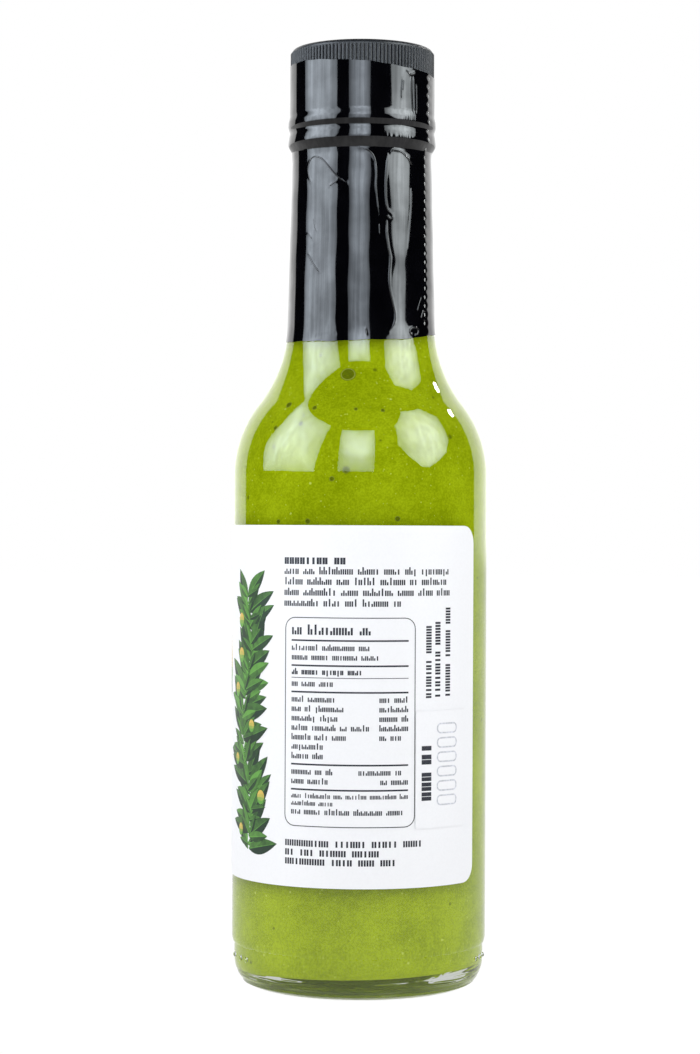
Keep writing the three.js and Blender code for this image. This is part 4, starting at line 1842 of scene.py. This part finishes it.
class BOTTLE_OT_label_text(bpy.types.Operator):
    """Makes the rows of plain ticks, the rules and the rounded frame of the text panel."""

    bl_idname = "bottle.label_text"
    bl_label = "Label Print"

    def execute(self, context):
        ink = ink_material("dark_ink", look().label.ink)
        rows = TextRows(PRINT_LIFT)
        rules = Marks()
        self.intro(rows)
        self.panel(rows, rules)
        self.notes(rows)
        radius = label_radius()
        text = rows.marks.wrap("label_text_ticks", radius, ink, *tick_marks())
        lines = rules.wrap("label_rules", radius, ink, bar_mark(RULE_SEGMENTS))
        box = Marks()
        width, height = PANEL_RIGHT - PANEL_LEFT, PANEL_TOP - PANEL_FOOT
        middle = ((PANEL_LEFT + PANEL_RIGHT) / 2 * MM, (PANEL_TOP + PANEL_FOOT) / 2 * MM, PRINT_LIFT)
        box.add(middle, (1.0, 1.0, PRINT_THICKNESS))
        shape = outline_mark("frame_mark", width * MM, height * MM, PANEL_CORNER * MM, PANEL_LINE * MM)
        border = box.wrap("label_panel_frame", radius, ink, shape)
        for piece in (text, lines, border):
            dress(piece, ink, "label")
        return {"FINISHED"}

    @staticmethod
    def intro(rows):
        """A short bold heading and four rows above the panel."""
        rows.row(ROWS_LEFT, *HEADING, heavy=True, even=True)
        for level, end in INTRO_ROWS:
            rows.row(ROWS_LEFT, end, level, INTRO_SIZE)

    @staticmethod
    def panel(rows, rules):
        """The panel's rows and rules, from its top down."""
        left, right = PANEL_LEFT + PANEL_MARGIN, PANEL_RIGHT - PANEL_MARGIN
        width = right - left
        level = PANEL_TOP - PANEL_MARGIN
        for kind, share, column in PANEL_ROWS:
            level -= ROW_HEIGHTS[kind] / 2
            if kind in RULES:
                centre = ((left + right) / 2 * MM, level * MM, PRINT_LIFT)
                rules.add(centre, (width * MM, RULES[kind] * MM, PRINT_THICKNESS))
            else:
                size, heavy = ROW_TICKS[kind]
                rows.row(left, left + share * width, level, size, heavy)
                if column:
                    rows.row(right - column * width, right, level, size, heavy)
            level -= ROW_HEIGHTS[kind] / 2

    @staticmethod
    def notes(rows):
        """Three rows under the panel, three upright rows beside it, and the rows of the far panel."""
        for level, end in NOTE_ROWS:
            rows.row(NOTES_LEFT, end, level, NOTE_SIZE, even=True)
        for along, start, end in SIDE_ROWS:
            rows.row(start, end, along, SIDE_SIZE, even=True, upright=True)
        for i, end in enumerate(FAR_ENDS):
            rows.row(FAR_LEFT, end, FAR_TOP - FAR_PITCH * i, INTRO_SIZE)


class BOTTLE_OT_sticker_print(bpy.types.Operator):
    """Makes the sticker's bold upright row and its faint stamped rings."""

    bl_idname = "bottle.sticker_print"
    bl_label = "Sticker Print"

    def execute(self, context):
        label = look().label
        radius = label_radius() + label.gap + label.thickness
        bold = TextRows(FIELD_LIFT)
        for start, end in BOLD_WORDS:
            bold.row(start, end, BOLD_PLACE, BOLD_SIZE, heavy=True, even=True, upright=True)
        ink = ink_material("sticker_ink", label.ink)
        piece = bold.marks.wrap("sticker_bold_ticks", radius, ink, *tick_marks())
        dress(piece, ink, "sticker")
        faint = Marks()
        for i in range(RING_COUNT):
            up = RING_FOOT + RING_PITCH * i
            faint.add((RING_PLACE * MM, up * MM, PRINT_LIFT), (1.0, 1.0, PRINT_THICKNESS))
        shape = outline_mark("stamp_mark", *RING_SIZE, RING_CORNER, RING_LINE)
        stamp = ink_material("stamp_ink", label.faint_ink)
        piece = faint.wrap("sticker_stamp_rings", radius, stamp, shape)
        dress(piece, stamp, "sticker")
        return {"FINISHED"}


# Printed art

# Garlands: middles along the label, foot and top, sway of the stem, and step from spray to spray, in
# millimetres
GARLANDS = (-24.6, -58.4)
GARLAND_FOOT = 26.5
GARLAND_TOP = 74.0
GARLAND_SWAY = 1.6
SWAY_RATE = 0.42
GARLAND_PITCH = 2.1
# Leaves at each step of a garland: side, longest length, and whether the leaf is dark
LEAF_SPRAY = (
    (-1, 8.2, True),
    (1, 8.2, True),
    (-1, 6.4, False),
    (1, 6.4, False),
    (-1, 4.4, False),
    (1, 4.4, True),
)
# Ranges that chance draws from: lean in degrees, length and width, place, and tones
LEAF_LEANS = (22, 84)
LEAF_LENGTHS = (0.78, 1.0)
LEAF_WIDTHS = (0.3, 0.42)
LEAF_ASIDE = (-0.5, 0.5)
LEAF_UP = (-0.9, 0.9)
DARK_TONES = (0.0, 0.25)
LIGHT_TONES = (0.25, 0.95)
LEAF_LAYERS = 12  # layers that the leaves lie in, one step apart
LEAF_STEP = 0.005 * MM
# Fruits: one at every third step, their widths, shape, and place beside the stem
FRUIT_STEPS = 3
FRUIT_WIDTHS = (1.5, 2.0)
FRUIT_STRETCH = 1.35
FRUIT_PLACE = (3.4, 0.6)
# Emblem: place and width of its round field, then its pods and its fan of leaves, with tones as the
# first one and the step to the next
EMBLEM = (-41.5, 58.0)
EMBLEM_WIDTH = 15.0
POD_LEANS = (-26, 0, 26)
POD_SIZE = 9.5
POD_PITCH = 2.0
POD_UP = 3.4
POD_TONES = (0.35, 0.2)
FAN_LEANS = (20, 55, 90, 125, 160)
FAN_LEAF = (4.6 * MM, 1.9 * MM, PRINT_THICKNESS)
FAN_UP = 3.0
FAN_TONES = (0.2, 0.12)


class BOTTLE_OT_label_art(bpy.types.Operator):
    """Makes the printed leaf garlands, fruits and pods of the label's front."""

    bl_idname = "bottle.label_art"
    bl_label = "Label Art"

    def execute(self, context):
        draw = random.Random(ART_SEED)
        leaves, fruits, pods = Marks(), Marks(), Marks()
        for centre in GARLANDS:
            self.garland(draw, centre, leaves, fruits)
        self.emblem(leaves, fruits, pods)
        radius = label_radius()
        leaf_ink, fruit_ink = leaf_material(), fruit_material()
        light, dark, _ = LEAF_SHADES
        shapes = (leaf_mark(light, dark), leaf_mark(dark, light))
        dress(leaves.wrap("label_leaves", radius, leaf_ink, *shapes), leaf_ink, "label")
        dress(fruits.wrap("label_fruits", radius, fruit_ink, disc_mark()), fruit_ink, "label")
        dress(pods.wrap("label_pods", radius, leaf_ink, pod_mark()), leaf_ink, "label")
        return {"FINISHED"}

    @staticmethod
    def garland(draw, centre, leaves, fruits):
        """Sprays of leaves up a swaying stem, dark ones behind and light ones in front, with fruits."""
        count = int((GARLAND_TOP - GARLAND_FOOT) / GARLAND_PITCH)
        for i in range(count):
            up = GARLAND_FOOT + GARLAND_PITCH * i
            along = centre + GARLAND_SWAY * math.sin(SWAY_RATE * i + centre)
            for j, (side, longest, dark) in enumerate(LEAF_SPRAY):
                lean = 90 - side * draw.uniform(*LEAF_LEANS)
                size = longest * draw.uniform(*LEAF_LENGTHS)
                layer = (len(LEAF_SPRAY) * (count - i) + j) % LEAF_LAYERS
                spot = (along + draw.uniform(*LEAF_ASIDE), up + draw.uniform(*LEAF_UP))
                width = size * draw.uniform(*LEAF_WIDTHS)
                leaves.add(
                    (spot[0] * MM, spot[1] * MM, PRINT_LIFT + layer * LEAF_STEP),
                    (size * MM, width * MM, PRINT_THICKNESS),
                    (0.0, 0.0, math.radians(lean)),
                    draw.uniform(*(DARK_TONES if dark else LIGHT_TONES)),
                    0 if side > 0 else 1,
                )
            if i % FRUIT_STEPS == 1:
                side = draw.choice((-1, 1))
                width = draw.uniform(*FRUIT_WIDTHS) * MM
                aside, above = FRUIT_PLACE
                out = PRINT_LIFT + LEAF_LAYERS * LEAF_STEP
                spot = ((along + aside * side) * MM, (up + above) * MM, out)
                fruits.add(spot, (width, FRUIT_STRETCH * width, PRINT_THICKNESS))

    @staticmethod
    def emblem(leaves, fruits, pods):
        """A round field with three hanging pods under a fan of leaves."""
        along, up = EMBLEM
        wide = EMBLEM_WIDTH * MM
        fruits.add((along * MM, up * MM, FIELD_LIFT), (wide, wide, PRINT_THICKNESS))
        out = FIELD_LIFT + 2 * LEAF_STEP
        for i, lean in enumerate(POD_LEANS):
            place = ((along + POD_PITCH * (i - 1)) * MM, (up + POD_UP) * MM, out + i * LEAF_STEP)
            size = (POD_SIZE * MM, POD_SIZE * MM, PRINT_THICKNESS)
            pods.add(place, size, (0.0, 0.0, math.radians(lean)), POD_TONES[0] + POD_TONES[1] * i)
        for i, lean in enumerate(FAN_LEANS):
            layer = len(POD_LEANS) + 1 + i % 2
            place = (along * MM, (up + FAN_UP) * MM, out + layer * LEAF_STEP)
            leaves.add(place, FAN_LEAF, (0.0, 0.0, math.radians(lean)), FAN_TONES[0] + FAN_TONES[1] * i)


# Stage

# Floor: radius, rings as parts of it, drop under the bottle, where it fades into white, and that white
FLOOR_RADIUS = 4.0
FLOOR_RINGS = (0.02, 0.1, 1.0)
FLOOR_COLUMNS = 96
FLOOR_DROP = 0.15 * MM
FLOOR_FADE = (17.5 * MM, 20.0 * MM)
FLOOR_WHITE = 1.02
LIGHT_DISTANCE = 0.70
# Bright wall behind the bottle: half its angle, the softness of its edge as a cosine, and the degrees by
# which its middle lies to the right
WALL_HALF_ANGLE = 53.2
WALL_SOFTNESS = 0.02
WALL_TURN = 1.2
WALL_THROUGH_GLASS = 0.6  # brightness of the wall where it shows through the glass
GROUND_LIGHT = 0.9  # brightness of what lies below the floor's level
GROUND_SOFTNESS = 0.02
SENSOR_WIDTH = 36.0
CLIP_START = 10.0 * MM

# Soft boxes that show in the gloss: tint, brightness, how bright the left and right edges stay, how
# bright the foot and the rest are, and corners as (azimuth, elevation) in degrees
SOFT_BOXES = (
    (
        "left_box",
        (0.81, 0.90, 1.0),
        10.0,
        (0.6, 0.85),
        (1.0, 1.0),
        (
            (-97, 2.4),
            (-42, 1.85),
            (-34.5, 45.5),
            (-47, 48.5),
            (-60, 50.5),
            (-72, 52.5),
            (-86, 55),
            (-96, 57),
            (-105, 59),
            (-98, 46),
            (-96.5, 36),
            (-102, 19),
        ),
    ),
    (
        "front_box",
        (0.80, 0.89, 1.0),
        8.4,
        (0.75, 0.75),
        (0.78, 1.34),
        ((-20.5, 2.2), (11.5, 1.85), (14.5, 42.5), (-20.5, 42.5)),
    ),
    (
        "right_box",
        (0.90, 0.97, 1.0),
        10.8,
        (0.75, 0.5),
        (1.18, 0.93),
        (
            (36, 27),
            (44, 16),
            (56, 6),
            (64, 5.5),
            (86, 16),
            (95, 24),
            (101, 40),
            (90, 52),
            (61, 57),
            (40, 46),
        ),
    ),
    (
        "small_lamp",
        (1.0, 1.0, 1.0),
        60.0,
        (1.0, 1.0),
        (1.0, 1.0),
        (
            (122, 32),
            (123.5, 30.4),
            (126.2, 29.8),
            (129, 30.4),
            (130.5, 32),
            (129, 33.6),
            (126.2, 34.2),
            (123.5, 33.6),
        ),
    ),
)
BOX_CENTRE = Vector((0.0, 0.0, 0.1))
# Size and glow of the rings of a box, from its edge inwards
BOX_RINGS = ((1.0, 0.4), (0.86, 0.63), (0.7, 0.8), (0.45, 1.0), (0.2, 1.13), (0.02, 1.18))
BOX_FADE = 0.3  # share of a box's width over which a dim side grows bright
BOX_FOOT = (16.0, 20.0)  # elevations between which the foot of a box turns into the rest
BOX_GLOWS = (0.84, 1.16)  # glow of the darkest and the brightest streaks of a box's cloth
BOX_PRESS = 0.12  # how far heights are pressed for these streaks
BOX_STEP = 3.0  # longest stretch of a box's outline, in degrees

# Lights that fill the matt surfaces: azimuth, elevation, width, height and brightness
FILL_LIGHTS = (
    ("left_fill", -70.0, 27.0, 0.7, 0.7, 2.5),
    ("front_fill", -5.0, 25.0, 0.45, 0.6, 1.8),
    ("right_fill", 66.0, 27.0, 0.65, 0.7, 2.5),
)


class BOTTLE_OT_stage(bpy.types.Operator):
    """Makes the floor, the soft boxes, the light of the room and the camera."""

    bl_idname = "bottle.stage"
    bl_label = "Stage"

    def execute(self, context):
        self.floor()
        for box in SOFT_BOXES:
            self.soft_box(*box)
        for light in FILL_LIGHTS:
            self.fill_light(*light)
        self.room(context.scene)
        self.camera(context.scene)
        context.scene.view_settings.view_transform = "Standard"
        return {"FINISHED"}

    @staticmethod
    def floor():
        """A pale floor that fades into plain white away from the bottle."""
        rings = turned_rings([(FLOOR_RADIUS * share, -FLOOR_DROP) for share in FLOOR_RINGS], FLOOR_COLUMNS)
        rows, columns, _ = rings.shape
        vertices = rings.reshape(-1, 3).tolist()
        faces = [list(range(columns))]
        for row in range(rows - 1):
            low, high = row * columns, (row + 1) * columns
            for i in range(columns):
                j = (i + 1) % columns
                faces.append((low + i, high + i, high + j, low + j))
        floor = new_object("floor", new_mesh("floor", vertices, faces))
        material, place, shader = new_material("pale_floor", Base_Color=look().stage.floor, Roughness=0.8)
        tree = material.node_tree
        distance = place.node("ShaderNodeVectorMath", {"operation": "LENGTH"}, {0: place}, "Value")
        shine = place.node("ShaderNodeEmission", None, {"Color": grey(1.0), "Strength": FLOOR_WHITE})
        blend = place.node("ShaderNodeMixShader", None, {0: distance.step(*FLOOR_FADE), 2: shine})
        tree.links.new(shader.outputs[0], blend.socket.node.inputs[1])
        tree.links.new(blend.socket, tree.nodes["Material Output"].inputs["Surface"])
        floor.data.materials.append(material)
        floor.visible_glossy = False

    @staticmethod
    def soft_box(name, tint, brightness, sides, levels, corners):
        """A glowing panel on a dome round the bottle, brightest in its middle. Only gloss shows it."""
        outline = np.array(divided(list(corners) + list(corners[:1]), BOX_STEP)[:-1])
        middle = outline.mean(axis=0)
        left, right = outline[:, 0].min(), outline[:, 0].max()
        vertices = []
        glows = []
        for size, glow in BOX_RINGS:
            ring = middle + size * (outline - middle)
            across = (ring[:, 0] - left) / (right - left)
            level = glow * np.interp(ring[:, 1], BOX_FOOT, levels)
            fade = np.interp(across, (0, BOX_FADE, 1 - BOX_FADE, 1), (sides[0], 1, 1, sides[1]))
            glows += list(level * fade)
            for azimuth, elevation in np.radians(ring):
                flat = around(math.cos(elevation), azimuth, math.sin(elevation))
                vertices.append(BOX_CENTRE + LIGHT_DISTANCE * Vector(flat))
        count = len(outline)
        last = len(BOX_RINGS) - 1
        faces = [tuple(range(last * count, (last + 1) * count))]
        for first in range(0, last * count, count):
            for i in range(count):
                j = (i + 1) % count
                faces.append((first + i, first + j, first + count + j, first + count + i))
        panel = new_object(name, new_mesh(name, vertices, faces))
        set_values(panel.data, "glow", glows)
        material = bpy.data.materials.new(name)
        material.use_nodes = True
        tree = material.node_tree
        start = Wire(tree)
        drawn = start.node("ShaderNodeTexCoord", output="Object").drawn_out(BOX_PRESS)
        cloth = drawn.noise(16.0, 3.0).step(0.3, 0.7).between(*BOX_GLOWS)
        strength = start.stored("glow") * cloth * brightness
        shine = start.node("ShaderNodeEmission", None, {"Color": tint + (1.0,), "Strength": strength})
        tree.links.new(shine.socket, tree.nodes["Material Output"].inputs["Surface"])
        panel.data.materials.append(material)
        panel.visible_camera = False
        panel.visible_diffuse = False
        panel.visible_shadow = False

    @staticmethod
    def fill_light(name, azimuth, elevation, width, height, brightness):
        """An area light that matt surfaces take their light from. No gloss shows it."""
        light = bpy.data.lights.new(name, "AREA")
        light.shape = "RECTANGLE"
        light.size = width
        light.size_y = height
        light.energy = brightness * math.pi * width * height
        lamp = new_object(name, light)
        level = math.radians(elevation)
        way = Vector(around(math.cos(level), math.radians(azimuth), math.sin(level)))
        lamp.location = BOX_CENTRE + LIGHT_DISTANCE * way
        lamp.rotation_euler = way.to_track_quat("Z", "Y").to_euler()
        lamp.visible_camera = False
        lamp.visible_glossy = False
        lamp.visible_transmission = False

    @staticmethod
    def room(scene):
        """A bright wall behind the bottle and a dim room in front, with plain white for the camera."""
        stage = look().stage
        world = bpy.data.worlds.new("studio")
        scene.world = world
        world.use_nodes = True
        tree = world.node_tree
        background = tree.nodes["Background"]
        start = Wire(tree)
        way = start.node("ShaderNodeTexCoord", output="Generated")
        across = start.node("ShaderNodeSeparateXYZ", None, {"Vector": way}, "X")
        swing = math.radians(WALL_TURN)
        deep = across.other("Y") * math.cos(swing) + across * math.sin(swing)
        edge = math.cos(math.radians(WALL_HALF_ANGLE))
        wall = deep.step(edge - WALL_SOFTNESS, edge + WALL_SOFTNESS)
        seen = start.node("ShaderNodeLightPath", output="Is Camera Ray")
        bright = seen.other("Is Transmission Ray").mix(grey(stage.wall_light), grey(WALL_THROUGH_GLASS))
        around_it = wall.mix(grey(stage.room_light), bright)
        ground = (0.0 - across.other("Z")).step(0.0, GROUND_SOFTNESS)
        light = seen.mix(ground.mix(around_it, grey(GROUND_LIGHT)), grey(1.0))
        light.plug(background.inputs["Color"], light)

    @staticmethod
    def camera(scene):
        """A level camera at the photograph's place."""
        stage = look().stage
        data = bpy.data.cameras.new("camera")
        data.lens = stage.lens
        data.sensor_width = SENSOR_WIDTH
        data.clip_start = CLIP_START
        camera = new_object("camera", data)
        camera.location = (-stage.camera_aside, -stage.camera_distance, stage.camera_height)
        camera.rotation_euler = (math.pi / 2, stage.camera_roll, 0.0)
        scene.camera = camera


# Add-on

PIECES = (
    BOTTLE_OT_stage,
    BOTTLE_OT_glass,
    BOTTLE_OT_heel_beads,
    BOTTLE_OT_sauce,
    BOTTLE_OT_bubbles,
    BOTTLE_OT_cap,
    BOTTLE_OT_sleeve,
    BOTTLE_OT_creases,
    BOTTLE_OT_tear_line,
    BOTTLE_OT_label,
    BOTTLE_OT_label_text,
    BOTTLE_OT_label_art,
    BOTTLE_OT_sticker,
    BOTTLE_OT_sticker_print,
)


class BOTTLE_PT_panel(bpy.types.Panel):
    """Lists the pieces of the bottle."""

    bl_idname = "BOTTLE_PT_panel"
    bl_label = "Sauce Bottle"
    bl_space_type = "VIEW_3D"
    bl_region_type = "UI"
    bl_category = "Sauce Bottle"

    def draw(self, context):
        for piece in PIECES:
            self.layout.operator(piece.bl_idname)


CLASSES = (
    GlassLook,
    SauceLook,
    CapLook,
    SleeveLook,
    LabelLook,
    StageLook,
    BottleLook,
    *PIECES,
    BOTTLE_PT_panel,
)


def register():
    """Registers the classes and gives the scene the bottle's properties."""
    for kind in CLASSES:
        bpy.utils.register_class(kind)
    bpy.types.Scene.sauce_bottle = bpy.props.PointerProperty(type=BottleLook)


def unregister():
    """Takes them away again."""
    del bpy.types.Scene.sauce_bottle
    for kind in reversed(CLASSES):
        bpy.utils.unregister_class(kind)


def main():
    """Registers the add-on and makes every piece in order."""
    register()
    for piece in PIECES:
        group, name = piece.bl_idname.split(".")
        getattr(getattr(bpy.ops, group), name)()


if __name__ == "__main__":
    main()
